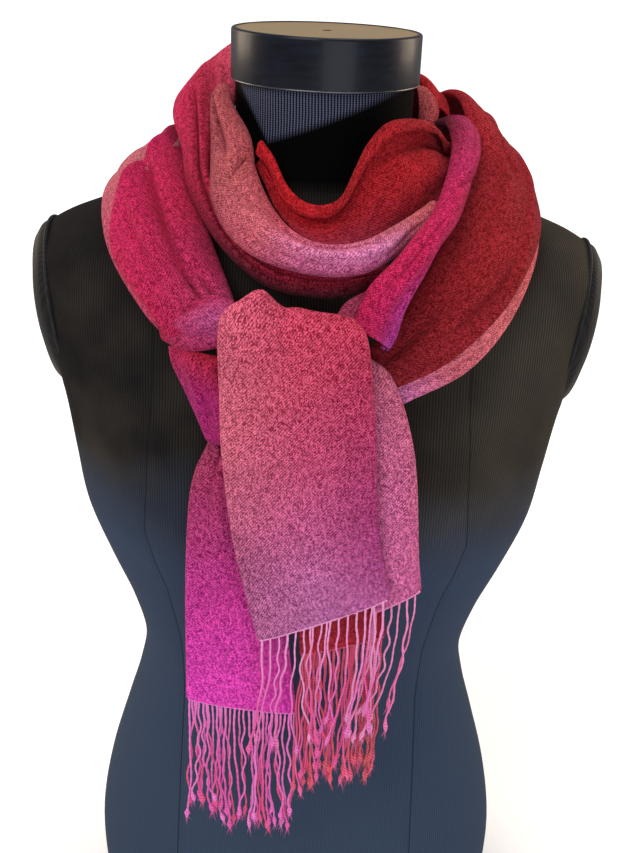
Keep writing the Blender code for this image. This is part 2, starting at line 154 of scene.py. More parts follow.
class Nodes:
    """A node tree with short calls for the nodes that these materials use."""

    def __init__(self, tree):
        self.tree = tree

    def add(self, kind, **settings):
        node = self.tree.nodes.new(kind)
        for key, value in settings.items():
            setattr(node, key, value)
        return node

    def feed(self, socket, value):
        if isinstance(value, bpy.types.NodeSocket):
            self.tree.links.new(value, socket)
        else:
            socket.default_value = value

    def math(self, operation, first, second=0.0, third=0.0):
        node = self.add("ShaderNodeMath", operation=operation)
        for socket, value in zip(node.inputs, (first, second, third)):
            self.feed(socket, value)
        return node.outputs[0]

    def mix(self, share, first, second, blend="MIX"):
        node = self.add("ShaderNodeMix", data_type="RGBA", blend_type=blend)
        self.feed(node.inputs[0], share)
        self.feed(node.inputs[6], first)
        self.feed(node.inputs[7], second)
        return node.outputs[2]

    def ramp(self, value, low, high, to_low=0.0, to_high=1.0):
        node = self.add("ShaderNodeMapRange")
        self.feed(node.inputs["Value"], value)
        self.feed(node.inputs["From Min"], low)
        self.feed(node.inputs["From Max"], high)
        self.feed(node.inputs["To Min"], to_low)
        self.feed(node.inputs["To Max"], to_high)
        return node.outputs[0]

    def noise(self, where, scale, detail=2.0, rough=0.5):
        node = self.add("ShaderNodeTexNoise")
        self.feed(node.inputs["Vector"], where)
        self.feed(node.inputs["Scale"], scale)
        self.feed(node.inputs["Detail"], detail)
        self.feed(node.inputs["Roughness"], rough)
        return node.outputs["Fac"]

    def place(self, where, scale):
        node = self.add("ShaderNodeMapping")
        self.feed(node.inputs["Vector"], where)
        node.inputs["Scale"].default_value = scale
        return node.outputs[0]

    def solid(self):
        return self.add("ShaderNodeTexCoord").outputs["Object"]

    def flat_map(self, label):
        return self.add("ShaderNodeUVMap", uv_map=label).outputs[0]

    def split(self, where):
        node = self.add("ShaderNodeSeparateXYZ")
        self.feed(node.inputs[0], where)
        return node.outputs

    def join(self, first, second):
        node = self.add("ShaderNodeCombineXYZ")
        self.feed(node.inputs[0], first)
        self.feed(node.inputs[1], second)
        return node.outputs[0]

    def bump(self, height, strength, distance, below=None):
        node = self.add("ShaderNodeBump")
        self.feed(node.inputs["Strength"], strength)
        self.feed(node.inputs["Distance"], distance)
        self.feed(node.inputs["Height"], height)
        if below is not None:
            self.feed(node.inputs["Normal"], below)
        return node.outputs[0]


def group(name, inputs, outputs):
    """An empty shader group with these sockets, and its input and output nodes."""
    tree = bpy.data.node_groups.new(name, "ShaderNodeTree")
    for label, kind, value in inputs:
        socket = tree.interface.new_socket(name=label, in_out="INPUT", socket_type=kind)
        if value is not None:
            socket.default_value = value
    for label, kind in outputs:
        tree.interface.new_socket(name=label, in_out="OUTPUT", socket_type=kind)
    nodes = Nodes(tree)
    return tree, nodes, nodes.add("NodeGroupInput"), nodes.add("NodeGroupOutput")


FLOAT = "NodeSocketFloat"
COLOUR = "NodeSocketColor"
VECTOR = "NodeSocketVector"


def woven_cloth_group():
    """Warp and weft that cross in a broken twill, with uneven yarns."""
    tree, n, given, made = group(
        "woven cloth",
        (
            ("Vector", VECTOR, None),
            ("Dye", COLOUR, (0.5, 0.05, 0.2, 1.0)),
            ("Threads per metre", FLOAT, 1300.0),
            ("Contrast", FLOAT, 0.6),
            ("Pale thread", FLOAT, 0.15),
        ),
        (("Colour", COLOUR), ("Height", FLOAT)),
    )
    where = given.outputs["Vector"]
    dye = given.outputs["Dye"]
    flat_x, flat_y, _ = n.split(where)
    pitch = given.outputs["Threads per metre"]
    drift = n.math("MULTIPLY", n.noise(where, 22.0, 1.0), 3.0)
    across = n.math("MULTIPLY_ADD", flat_x, pitch, drift)
    along = n.math("MULTIPLY_ADD", flat_y, pitch, drift)
    warp = n.math("FLOOR", across)
    weft = n.math("FLOOR", along)
    cell = n.add("ShaderNodeTexWhiteNoise", noise_dimensions="2D")
    n.feed(cell.inputs["Vector"], n.join(warp, weft))
    chance = cell.outputs["Value"]
    step = n.math("MODULO", n.math("ADD", n.math("ADD", warp, weft), 9000.0), 3.0)
    over = n.math("LESS_THAN", n.math("MULTIPLY_ADD", chance, 1.6, step), 1.7)
    slub = n.noise(n.place(where, (1.0, 0.3, 1.0)), 700.0, 1.0)
    patchy = n.ramp(n.noise(where, 330.0, 2.0), 0.35, 0.65)
    tone = n.math("MULTIPLY_ADD", step, 0.14, n.math("MULTIPLY", chance, 0.56))
    tone = n.math("MULTIPLY_ADD", patchy, 0.14, tone)
    tone = n.math("ADD", tone, n.ramp(slub, 0.35, 0.65, -0.1, 0.1))
    bright = n.mix(1.0, dye, (1.8, 1.75, 1.85, 1.0), "MULTIPLY")
    pale = n.mix(given.outputs["Pale thread"], bright, (1.0, 0.62, 0.8, 1.0))
    deep = n.mix(1.0, dye, (0.32, 0.1, 0.28, 1.0), "MULTIPLY")
    two = n.mix(n.ramp(tone, 0.28, 0.78), deep, pale)
    n.feed(made.inputs["Colour"], n.mix(given.outputs["Contrast"], dye, two))
    round_warp = n.math("PINGPONG", across, 0.5)
    round_weft = n.math("PINGPONG", along, 0.5)
    height = n.add("ShaderNodeMix", data_type="FLOAT")
    n.feed(height.inputs[0], over)
    n.feed(height.inputs[2], round_weft)
    n.feed(height.inputs[3], round_warp)
    n.feed(made.inputs["Height"], n.math("MULTIPLY_ADD", height.outputs[0], 1.4, slub))
    return tree


def knit_group():
    """Fine ribs and rows of a jersey drawn tight."""
    tree, n, given, made = group(
        "jersey knit",
        (
            ("Vector", VECTOR, None),
            ("Ribs per metre", FLOAT, 520.0),
            ("Rows per metre", FLOAT, 760.0),
        ),
        (("Ribs", FLOAT), ("Height", FLOAT)),
    )
    where = given.outputs["Vector"]
    flat_x, flat_y, _ = n.split(where)
    drift = n.math("MULTIPLY", n.noise(where, 30.0, 2.0), 1.2)
    rib = n.math("MULTIPLY_ADD", flat_x, given.outputs["Ribs per metre"], drift)
    row = n.math("MULTIPLY_ADD", flat_y, given.outputs["Rows per metre"], drift)
    rib = n.math("PINGPONG", rib, 0.5)
    row = n.math("PINGPONG", row, 0.5)
    n.feed(made.inputs["Ribs"], n.math("MULTIPLY", rib, 2.0))
    n.feed(made.inputs["Height"], n.math("MULTIPLY_ADD", row, 0.5, rib))
    return tree


def new_material(name):
    made = bpy.data.materials.new(name)
    made.use_nodes = True
    made.node_tree.nodes.clear()
    n = Nodes(made.node_tree)
    shader = n.add("ShaderNodeBsdfPrincipled")
    out = n.add("ShaderNodeOutputMaterial")
    n.feed(out.inputs["Surface"], shader.outputs[0])
    return made, n, shader


def settings(shader, **values):
    """Constant values, set on the shader's own sockets."""
    for label, value in values.items():
        shader.inputs[label.replace("_", " ")].default_value = value


def use_group(n, tree):
    node = n.add("ShaderNodeGroup")
    node.node_tree = tree
    return node


def cloth_material(name, weave, threads, contrast, pale, relief):
    made, n, shader = new_material(name)
    settings(shader, Roughness=0.88, Specular_IOR_Level=0.1)
    settings(shader, Sheen_Weight=0.03, Sheen_Roughness=0.5)
    shader.inputs["Sheen Tint"].default_value = (1.0, 0.72, 0.82, 1.0)
    where = n.flat_map("cloth")
    dye = n.add("ShaderNodeAttribute", attribute_name="dye").outputs["Color"]
    cloth = use_group(n, weave)
    n.feed(cloth.inputs["Vector"], where)
    n.feed(cloth.inputs["Dye"], dye)
    cloth.inputs["Threads per metre"].default_value = threads
    cloth.inputs["Contrast"].default_value = contrast
    cloth.inputs["Pale thread"].default_value = pale
    cloud = n.ramp(n.noise(where, 26.0, 3.0), 0.3, 0.7, 0.88, 1.1)
    grey = n.add("ShaderNodeCombineColor")
    for socket in grey.inputs:
        n.feed(socket, cloud)
    colour = n.mix(1.0, cloth.outputs["Colour"], grey.outputs[0], "MULTIPLY")
    n.feed(shader.inputs["Base Color"], colour)
    crimp = n.bump(n.noise(where, 210.0, 3.0), 0.35, 0.0012)
    n.feed(shader.inputs["Normal"], n.bump(cloth.outputs["Height"], relief, 0.0004, crimp))
    return made


def yarn_material(name):
    made, n, shader = new_material(name)
    settings(shader, Roughness=0.75, Specular_IOR_Level=0.15)
    settings(shader, Sheen_Weight=0.1, Sheen_Roughness=0.4)
    shader.inputs["Sheen Tint"].default_value = (1.0, 0.8, 0.9, 1.0)
    dye = n.add("ShaderNodeAttribute", attribute_name="dye").outputs["Color"]
    around, along, _ = n.split(n.flat_map("yarn"))
    turn = n.math("MULTIPLY_ADD", along, 1000.0 / PLY_TURN * 2.0, around)
    ply = n.math("MULTIPLY", n.math("PINGPONG", turn, 0.5), 2.0)
    dark = n.mix(1.0, dye, (0.8, 0.5, 0.7, 1.0), "MULTIPLY")
    light = n.mix(0.2, dye, (1.0, 0.75, 0.9, 1.0))
    n.feed(shader.inputs["Base Color"], n.mix(n.ramp(ply, 0.0, 0.6), dark, light))
    n.feed(shader.inputs["Normal"], n.bump(ply, 0.6, 0.0005))
    return made


def jersey_material(knit):
    """Black stretch jersey with painted light, warmer above and cooler below, and a painted pool of
    light on the neck; with its stitched seams.
    """
    made, n, shader = new_material("form_jersey")
    settings(shader, Roughness=0.8, Specular_IOR_Level=0.05)
    ribs = use_group(n, knit)
    n.feed(ribs.inputs["Vector"], n.flat_map("knit"))
    solid = n.solid()
    x, _, z = n.split(solid)
    height = n.math("ADD", z, n.ramp(n.noise(solid, 6.0), 0.3, 0.7, -0.03, 0.03))
    # Painted highlights: lighter warm patches, more of them towards the right side, spread by
    # uneven noise.
    light = n.math("MULTIPLY_ADD", x, 1.3, n.noise(solid, 13.0, 3.0))
    warm = n.mix(n.ramp(light, 0.28, 0.8), shade((31, 29, 30)), shade((74, 68, 59)))
    # Painted light by height: a cool slate-blue painted light below, the warm painted light above.
    tone = n.mix(n.ramp(height, 0.37, 0.45), shade((60, 74, 96)), warm)
    on_neck = n.ramp(z, (NECK_SEAM - 6.0) * MM, (NECK_SEAM + 6.0) * MM)
    # A painted pool of grey-blue light on the neck's knit. Its slanting lower edge is a painted
    # shadow of the scarf and cap, and the rest of the neck stays black.
    off_left = n.math("SUBTRACT", x, LIT_PATCH_X)
    gentle = n.math("MULTIPLY", off_left, 0.4)
    steep = n.math("MULTIPLY", off_left, -1.6)
    low_edge = n.math("ADD", n.math("MAXIMUM", gentle, steep), LIT_PATCH_Z)
    above = n.math("SUBTRACT", z, low_edge)
    painted_light_patch = n.math("MULTIPLY", n.ramp(above, 0.0, 0.005), n.ramp(ribs.outputs["Height"], 0.2, 0.6))
    neck = n.mix(painted_light_patch, shade((2, 1, 2)), shade((92, 98, 122)))
    tone = n.mix(on_neck, tone, neck)
    dark = n.mix(1.0, tone, (0.15, 0.15, 0.17, 1.0), "MULTIPLY")
    # The ribs show less where the cool painted light falls below.
    least = n.ramp(height, 0.37, 0.46, 0.72, 0.35)
    body = n.mix(n.ramp(ribs.outputs["Ribs"], 0.15, 0.8, least, 1.0), dark, tone)
    away = NO_SEAM
    for label in SEAMS:
        off = n.add("ShaderNodeAttribute", attribute_name=label).outputs["Fac"]
        away = n.math("MINIMUM", n.math("ABSOLUTE", off), away)
    line = n.ramp(away, 0.2, 0.8, 0.6, 0.0)
    n.feed(shader.inputs["Base Color"], n.mix(line, body, (0.006, 0.006, 0.008, 1.0)))
    seam = n.bump(n.ramp(away, 0.0, 5.0, -1.0, 0.0), 0.9, 0.0011)
    n.feed(shader.inputs["Normal"], n.bump(ribs.outputs["Height"], 0.5, 0.0005, seam))
    return made


def arm_material(knit):
    made, n, shader = new_material("arm_jersey")
    settings(shader, Roughness=0.66, Specular_IOR_Level=0.25)
    settings(shader, Sheen_Weight=0.06, Sheen_Roughness=0.35)
    _, y, z = n.split(n.solid())
    ribs = use_group(n, knit)
    n.feed(ribs.inputs["Vector"], n.join(y, z))
    body = n.mix(ribs.outputs["Ribs"], shade((10, 10, 12)), shade((28, 28, 30)))
    n.feed(shader.inputs["Base Color"], body)
    n.feed(shader.inputs["Normal"], n.bump(ribs.outputs["Height"], 0.45, 0.0005))
    return made


def enamel_material():
    """Dark glossy enamel with faint rubbing along the height."""
    made, n, shader = new_material("neck_cap_enamel")
    settings(shader, Specular_IOR_Level=0.2, Coat_Weight=0.1, Coat_Roughness=0.15)
    rub = n.noise(n.place(n.solid(), (1.0, 1.0, 6.0)), 60.0, 4.0, 0.6)
    colour = n.mix(n.ramp(rub, 0.3, 0.7), shade((8, 11, 19)), shade((16, 21, 36)))
    n.feed(shader.inputs["Base Color"], colour)
    n.feed(shader.inputs["Roughness"], n.ramp(rub, 0.3, 0.7, 0.3, 0.42))
    n.feed(shader.inputs["Normal"], n.bump(rub, 0.05, 0.0004))
    return made


def plate_material():
    """The cap's satin top plate, warm tan."""
    made, n, shader = new_material("neck_cap_plate")
    settings(shader, Metallic=0.55, Specular_IOR_Level=0.5)
    grain = n.noise(n.place(n.solid(), (1.0, 12.0, 1.0)), 40.0, 4.0, 0.6)
    n.feed(shader.inputs["Base Color"], n.mix(grain, shade((150, 118, 72)), shade((205, 175, 120))))
    n.feed(shader.inputs["Roughness"], n.ramp(grain, 0.3, 0.7, 0.28, 0.42))
    return made


def rim_material():
    made, n, shader = new_material("neck_cap_rim")
    settings(shader, Metallic=1.0)
    wear = n.noise(n.solid(), 90.0, 3.0)
    n.feed(shader.inputs["Base Color"], n.mix(wear, shade((70, 72, 76)), shade((120, 122, 126))))
    n.feed(shader.inputs["Roughness"], n.ramp(wear, 0.3, 0.7, 0.2, 0.4))
    return made


# Meshes from points


def through(rows, fine=14):
    """Many rows on the smooth curve through a table's rows."""
    rows = np.asarray(rows, float)
    ends = np.vstack([2 * rows[0] - rows[1], rows, 2 * rows[-1] - rows[-2]])
    made = []
    for i in range(len(rows) - 1):
        a, b, c, d = ends[i : i + 4]
        square = 2 * a - 5 * b + 4 * c - d
        cubic = 3 * b - a - 3 * c + d
        for t in np.linspace(0, 1, fine, endpoint=False):
            made.append(0.5 * (2 * b + (c - a) * t + square * t * t + cubic * t**3))
    made.append(rows[-1])
    return np.array(made)


def run_along(points):
    """How far each point of a line, or of many lines at once, lies from the start."""
    steps = np.linalg.norm(np.diff(points, axis=-2), axis=-1)
    start = np.zeros(steps.shape[:-1] + (1,))
    return np.concatenate([start, np.cumsum(steps, axis=-1)], axis=-1)


def grid_faces(rows, columns, closed=False, flip=False):
    wide = columns if closed else columns - 1
    i, j = np.meshgrid(np.arange(rows - 1), np.arange(wide), indexing="ij")
    here = i * columns
    after = (i + 1) * columns
    k = (j + 1) % columns
    quads = np.stack([here + j, here + k, after + k, after + j], -1).reshape(-1, 4)
    return quads[:, ::-1] if flip else quads


def closed_faces(rings, sides):
    """The faces round a tube of rings, and its two end faces."""
    faces = grid_faces(rings, sides, closed=True).tolist()
    faces.append(list(range(sides))[::-1])
    faces.append([(rings - 1) * sides + k for k in range(sides)])
    return faces


def mesh_from(name, points, faces, material):
    """A smooth piece from points in millimetres."""
    mesh = bpy.data.meshes.new(name)
    mesh.from_pydata((np.asarray(points) * MM).tolist(), [], [list(map(int, f)) for f in faces])
    mesh.polygons.foreach_set("use_smooth", [True] * len(mesh.polygons))
    mesh.materials.append(material)
    made = bpy.data.objects.new(name, mesh)
    bpy.context.scene.collection.objects.link(made)
    return made


def add_map(made, label, places):
    """A UV map from one place for each point."""
    layer = made.data.uv_layers.new(name=label)
    corner = np.empty(len(made.data.loops), np.int32)
    made.data.loops.foreach_get("vertex_index", corner)
    layer.data.foreach_set("uv", np.asarray(places, np.float32)[corner].reshape(-1))


def add_dye(made, colours):
    layer = made.data.color_attributes.new(name="dye", type="FLOAT_COLOR", domain="POINT")
    full = np.ones((len(colours), 4), np.float32)
    full[:, :3] = colours
    layer.data.foreach_set("color", full.reshape(-1))


def start_fresh():
    bpy.ops.object.select_all(action="DESELECT")


def pick(made):
    start_fresh()
    bpy.context.view_layer.objects.active = made
    made.select_set(True)


def apply_modifiers(made):
    pick(made)
    for modifier in list(made.modifiers):
        bpy.ops.object.modifier_apply(modifier=modifier.name)
    made.select_set(False)


# The cloth: one stretch of the scarf, swept between its two edges
# rows: upper or left edge x, y, z, lower or right edge x, y, z, how far the middle bows out,
#   and for the outer loop the share of its width that its upper layer covers
# lips: how far each long edge turns under, as radius and length, upper edge first
# folds: place across 0 to 1, height, half width 0 to 1, start and end along 0 to 1
# creases: start along and across 0 to 1, end along and across, height, half width in millimetres
# peaks: place across 0 to 1 where the first edge rises, height, half width, end along
# dye: place along 0 to 1, then the colour at the upper edge, the middle and the lower edge, in some
# tables darkened with painted shade


def bell(x):
    return np.exp(-(x**2))


def half_turn(across, out, radius, start, turn):
    """Places round half a circle, from its middle, its radius and its angles in degrees."""
    places = []
    for k in range(LIP_POINTS):
        angle = math.radians(start + turn * k / (LIP_POINTS - 1))
        places.append((across + radius * math.cos(angle), out + radius * math.sin(angle)))
    return places


def section(width, lips, count, pleat=0.0):
    """Across and outward places of one section, its edges turned under, and a place in the dye."""
    (r0, l0), (r1, l1) = lips
    fold = pleat * width
    tucked = fold - PLEAT_TUCK
    if r0:
        places = [(r0 + l0, -2 * r0), (r0 + 0.5 * l0, -2 * r0)]
        places += half_turn(r0, -r0, r0, 270, -180)
    else:
        places = [(0.0, 0.0)]
    if pleat:
        for a in np.linspace(r0, fold, count)[1:]:
            places.append((a, 4 * PLEAT_ROUND * (a / fold) ** 2))
        places += half_turn(fold, 3 * PLEAT_ROUND, PLEAT_ROUND, 90, -180)[1:]
        hidden = len(places)
        places += half_turn(tucked, PLEAT_ROUND, PLEAT_ROUND, 90, 180)
        below = np.linspace(tucked, width - r1, count // 2)
    else:
        below = np.linspace(r0, width - r1, count)
    places += [(a, 0.0) for a in below[1:-1]]
    if r1:
        places += half_turn(width - r1, -r1, r1, 90, -180)
        places += [(width - r1 - 0.5 * l1, -2 * r1), (width - r1 - l1, -2 * r1)]
    else:
        places.append((width, 0.0))
    places = np.array(places)
    if pleat:
        dye = np.ones(len(places))
        dye[:hidden] = 0.5 * np.clip(places[:hidden, 0] / fold, 0, 1)
    else:
        dye = np.clip(places[:, 0] / width, 0, 1)
    return np.column_stack([places, dye])


def soft_waves(length_mm, across_mm, height, seed):
    """Slight uneven waves, the same each run."""
    rng = np.random.default_rng(seed)
    total = np.zeros_like(length_mm)
    for _ in range(7):
        size = rng.uniform(16, 55)
        turn = rng.uniform(-0.9, 0.9)
        phase = rng.uniform(0, 6.28)
        run = across_mm * math.cos(turn) + length_mm * math.sin(turn) * 0.6
        total += np.sin(run * 6.28 / size + phase) * rng.uniform(0.3, 1.0)
    return height * total / 3.0


def dyed(table, t, s):
    """Colour at each place, from a short table of display colours."""
    stops = np.array([row[0] for row in table])
    colours = np.zeros(t.shape + (3,))
    for channel in range(3):
        columns = []
        for place in (1, 2, 3):
            values = linear([row[place] for row in table])[:, channel]
            columns.append(np.interp(t, stops, values))
        low = np.clip(s * 2, 0, 1)
        high = np.clip(s * 2 - 1, 0, 1)
        first = columns[0] * (1 - low) + columns[1] * low
        colours[..., channel] = first * (1 - high) + columns[2] * high
    return colours


def stretch(name, node, rows, dye, material, lips, along, across, waves, seed, rests_on, out=1,
            folds=(), creases=(), peaks=(), held="draped"):
    """One stretch of cloth, with its flat size, how it is held and what it rests on."""
    fine = through(rows)
    gone = run_along((fine[:, :3] + fine[:, 3:6]) / 2)
    want = np.linspace(0, gone[-1], along)
    fine = np.stack([np.interp(want, gone, column) for column in fine.T], axis=1)
    pleats = fine[:, 7] if fine.shape[1] > 7 else np.zeros(along)
    one, two, bow = fine[:, :3], fine[:, 3:6], fine[:, 6]
    middle = (one + two) / 2
    forward = np.gradient(middle, axis=0)
    width = np.linalg.norm(two - one, axis=1)
    side = (two - one) / width[:, None]
    normal = np.cross(forward, side) * out
    normal /= np.linalg.norm(normal, axis=1)[:, None]
    places = np.stack([section(w, lips, across, p) for w, p in zip(width, pleats)])
    a, h, in_dye = places[..., 0], places[..., 1], places[..., 2]
    s = np.clip(a / width[:, None], 0, 1)
    t = np.repeat(np.linspace(0, 1, along)[:, None], a.shape[1], axis=1)
    lift = bow[:, None] * (4 * s * (1 - s)) ** 0.8
    for place, tall, wide, start, end in folds:
        window = np.sin(np.pi * np.clip((t - start) / (end - start), 0, 1)) ** 0.6
        lift += tall * window * bell((s - place) / wide)
    run = t * gone[-1]
    for t0, s0, t1, s1, tall, wide in creases:
        start = np.array((t0 * gone[-1], s0 * width.mean()))
        line = np.array((t1 * gone[-1], s1 * width.mean())) - start
        size = np.linalg.norm(line)
        line /= size
        dx, dy = run - start[0], s * width.mean() - start[1]
        reach = np.clip((dx * line[0] + dy * line[1]) / size, 0, 1)
        off = -dx * line[1] + dy * line[0]
        lift += tall * np.sin(np.pi * reach) ** 0.7 * bell(off / wide)
    lift += soft_waves(run, a, waves, seed)
    points = one[:, None] + side[:, None] * a[..., None] + normal[:, None] * (h + lift)[..., None]
    for place, tall, wide, end in peaks:
        fade = 0.5 * (1 + np.cos(np.pi * np.clip(t / end, 0, 1)))
        points[..., 2] += tall * bell((s - place) / wide) * fade
    faces = grid_faces(along, points.shape[1], flip=out < 0)
    made = mesh_from(name, points.reshape(-1, 3), faces, material)
    cloth_across = run_along(points)
    centred = cloth_across - cloth_across[:, -1:] / 2
    add_map(made, "cloth", np.stack([centred, run], -1).reshape(-1, 2) * MM)
    add_dye(made, dyed(dye, t, in_dye).reshape(-1, 3))
    shell = made.modifiers.new("wall", "SOLIDIFY")
    shell.thickness = WALL * MM
    shell.offset = -1.0
    apply_modifiers(made)
    made.data.polygons.foreach_set("use_smooth", [True] * len(made.data.polygons))
    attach(made, "root")
    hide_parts(node)
    flat = (float(cloth_across[:, -1].mean()) * MM, float(gone[-1]) * MM)
    return made, flat, held, rests_on


# The outer loop, from the knot over the left shoulder, behind the neck and down to the knot
OUTER_WRAP = (
    (-44, -119, 548, -80, -121, 534, 4, 0.93),
    (-50, -105, 561, -98, -112, 548, 8, 0.93),
    (-65, -76, 585, -124, -76, 571, 12, 0.93),
    (-77, -41, 606, -137, -36, 589, 13, 0.63),
    (-86, -2, 621, -138, 0, 598, 12, 0.22),
    (-86, 32, 625, -122, 42, 599, 11, 0.18),
    (-60, 80, 630, -88, 95, 580, 9, 0.16),
    (0, 100, 634, 0, 121, 560, 8, 0.4),
    (62, 89, 643, 92, 101, 588, 8, 0.65),
    (84, 47, 661, 110, 48, 615, 8, 0.8),
    (94, 17, 655, 116, 15, 616, 8, 0.88),
    (93, -9, 628, 134, -10, 601, 10, 0.9),
    (82, -48, 604, 137, -48, 580, 9, 0.9),
    (70, -84, 576, 121, -84, 548, 8, 0.8),
    (48, -110, 547, 93, -111, 521, 6, 0.7),
    (32, -120, 532, 55, -124, 503, 3, 0.62),
)
OUTER_CREASES = (
    (0.22, 0.42, 0.02, 0.38, -7.5, 3.2),
    (0.22, 0.2, 0.03, 0.16, 3.0, 5.0),
    (0.06, 0.3, 0.0, 0.12, -6.0, 3.2),
    (0.07, 0.45, 0.0, 0.3, -4.0, 2.6),
    (0.14, 0.68, 0.03, 0.66, -4.0, 3.0),
    (0.29, 0.5, 0.2, 0.6, -2.5, 3.0),
    (0.3, 0.2, 0.6, 0.32, -3.5, 5.0),
    (0.36, 0.45, 0.62, 0.5, 3.0, 6.0),
    (0.5, 0.12, 0.7, 0.2, -2.5, 4.0),
    (0.66, 0.3, 0.78, 0.6, -4.5, 4.0),
    (0.7, 0.38, 0.97, 0.4, -2.0, 5.0),
    (0.76, 0.62, 0.93, 0.66, 2.0, 6.0),
    (0.84, 0.8, 0.95, 0.5, -3.5, 3.0),
    (0.9, 0.3, 1.0, 0.25, -4.0, 3.5),
    (0.93, 0.9, 1.0, 0.75, -2.5, 2.5),
)
OUTER_FOLDS = (
    (0.3, 3.5, 0.1, 0.0, 0.24),
    (0.62, 4, 0.1, 0.02, 0.2),
    (0.5, 3, 0.12, 0.35, 0.7),
    (0.45, 3, 0.1, 0.62, 1.0),
    (0.8, 3, 0.06, 0.6, 1.0),
    (0.84, -4, 0.05, 0.18, 0.36),
)
OUTER_DYE = (
    (0.0, (186, 70, 118), (180, 22, 72), (180, 50, 85)),
    (0.05, (182, 40, 88), (188, 18, 74), (184, 60, 90)),
    (0.12, (178, 18, 64), (196, 18, 82), (188, 78, 100)),
    (0.2, (184, 16, 68), (194, 20, 82), (196, 108, 116)),
    (0.3, (172, 18, 60), (182, 24, 68), (200, 120, 122)),
    (0.5, (155, 18, 45), (158, 20, 50), (190, 100, 105)),
    (0.66, (158, 18, 28), (152, 16, 26), (180, 75, 80)),
    (0.75, (152, 14, 22), (146, 14, 22), (200, 84, 86)),
    (0.88, (146, 12, 18), (140, 12, 18), (224, 114, 112)),
    (0.96, (138, 10, 18), (132, 12, 20), (222, 114, 124)),
    (1.0, (125, 10, 18), (125, 12, 22), (212, 122, 172)),
)

# The band that starts under the roll, runs up the left of the neck and stands behind it
COLLAR = (
    (44, -97, 579, 50, -103, 570, 2),
    (26, -103, 577, 30, -109, 566, 3),
    (4, -105, 575, 3, -112, 563, 4),
    (-22, -101, 580, -29, -107, 567, 5),
    (-44, -82.8, 591.1, -56, -88.8, 584.1, 6),
    (-58, -53.8, 610.1, -79, -55.8, 609.1, 7),
    (-59.5, -16, 643, -88, -21.8, 629.1, 7),
    (-57.5, 18, 663, -98, 12.2, 646, 7),
    (-56, 38, 683, -93, 49.2, 650, 7),
    (-45, 61.2, 694, -66, 79.2, 644, 6),
    (0, 75.2, 682, 0, 90.2, 634.1, 5),
    (47, 65, 672, 60, 79.2, 634.1, 5),
    (65, 43, 669, 82, 50.2, 634.1, 5),
    (73, 20.2, 653.1, 88, 24.2, 632.1, 3),
)
COLLAR_FOLDS = (
    (0.2, 2.5, 0.08, 0.06, 0.56),
    (0.5, 3, 0.08, 0.1, 0.56),
    (0.8, 2.5, 0.08, 0.12, 0.5),
    (0.45, 3, 0.1, 0.75, 1.0),
)
COLLAR_CREASES = (
    (0.2, 0.3, 0.58, 0.34, -6.0, 2.4),
    (0.26, 0.62, 0.52, 0.58, -6.5, 2.2),
    (0.36, 0.12, 0.6, 0.2, -4.0, 2.2),
    (0.34, 0.88, 0.5, 0.74, -3.0, 2.4),
    (0.34, 0.5, 0.5, 0.42, -3.0, 2.0),
    (0.62, 0.2, 0.8, 0.4, -2.0, 4.0),
    (0.02, 0.4, 0.26, 0.5, -4.0, 2.2),
    (0.08, 0.75, 0.3, 0.7, -2.5, 2.0),
)
# Its start and its lower edge are dark: painted shade where the band lies under the roll.
COLLAR_DYE_AND_SHADE = (
    (0.0, (135, 10, 32), (128, 10, 34), (60, 5, 16)),
    (0.2, (175, 20, 56), (158, 14, 50), (75, 7, 24)),
    (0.32, (182, 36, 68), (172, 20, 60), (165, 16, 58)),
    (0.45, (190, 66, 86), (172, 20, 58), (188, 18, 74)),
    (0.58, (200, 76, 96), (178, 22, 62), (198, 18, 88)),
    (0.68, (200, 60, 80), (188, 22, 68), (196, 18, 78)),
    (0.76, (190, 28, 45), (190, 20, 50), (188, 18, 60)),
    (0.88, (190, 20, 26), (192, 20, 26), (182, 18, 24)),
    (1.0, (185, 16, 22), (180, 16, 22), (165, 14, 20)),
)

# The narrow fold between the neck and the right drape
NECK_FOLD = (
    (60, 33, 664, 74, 37, 657, 2),
    (61, 24, 660, 74.5, 26, 653, 3),
    (61.5, 15, 655, 74, 13, 650, 3),
    (61.5, 8, 648, 72, 4, 642, 3),
    (61, 2, 640, 69, -3, 634, 2),
)
NECK_FOLD_DYE = (
    (0.0, (190, 90, 85), (185, 85, 80), (180, 75, 75)),
    (1.0, (185, 80, 80), (180, 75, 75), (165, 50, 55)),
)

# The red drape between the neck and the roll
DRAPE = (
    (85, -6, 630, 88, -14, 622, 0),
    (71, -25, 638, 84, -31, 614, -2),
    (60, -40, 651, 76, -50, 607, -3),
    (47, -50, 654, 63, -62, 600, -4),
    (36, -59, 652, 52, -76, 595, -3),
    (27, -67, 642, 41, -91, 594, 1),
    (20, -76, 627, 28, -99, 592, 3),
    (13, -85, 613, 14, -104, 591, 3),
    (2, -89, 608, 0, -106, 593, 3),
    (-10, -86, 610, -13, -98, 598, 3),
    (-20, -76, 619, -25, -82, 606, 3),
    (-28, -61, 631, -33, -66, 617, 3),
    (-34.6, -50.9, 637.7, -39.6, -53.9, 625.7, 2),
)
DRAPE_FOLDS = (
    (0.1, -1.5, 0.05, 0.03, 0.5),
    (0.26, 6, 0.06, 0.04, 0.42),
    (0.62, -3, 0.2, 0.06, 0.5),
)
DRAPE_CREASES = (
    (0.34, 0.4, 0.5, 0.85, 2.5, 3.0),
    (0.2, 0.5, 0.36, 0.95, -2.0, 6.0),
    (0.6, 0.3, 0.8, 0.6, 2.0, 2.5),
    (0.75, 0.2, 0.97, 0.55, 2.5, 2.6),
    (0.42, 0.15, 0.62, 0.3, -2.0, 4.0),
)
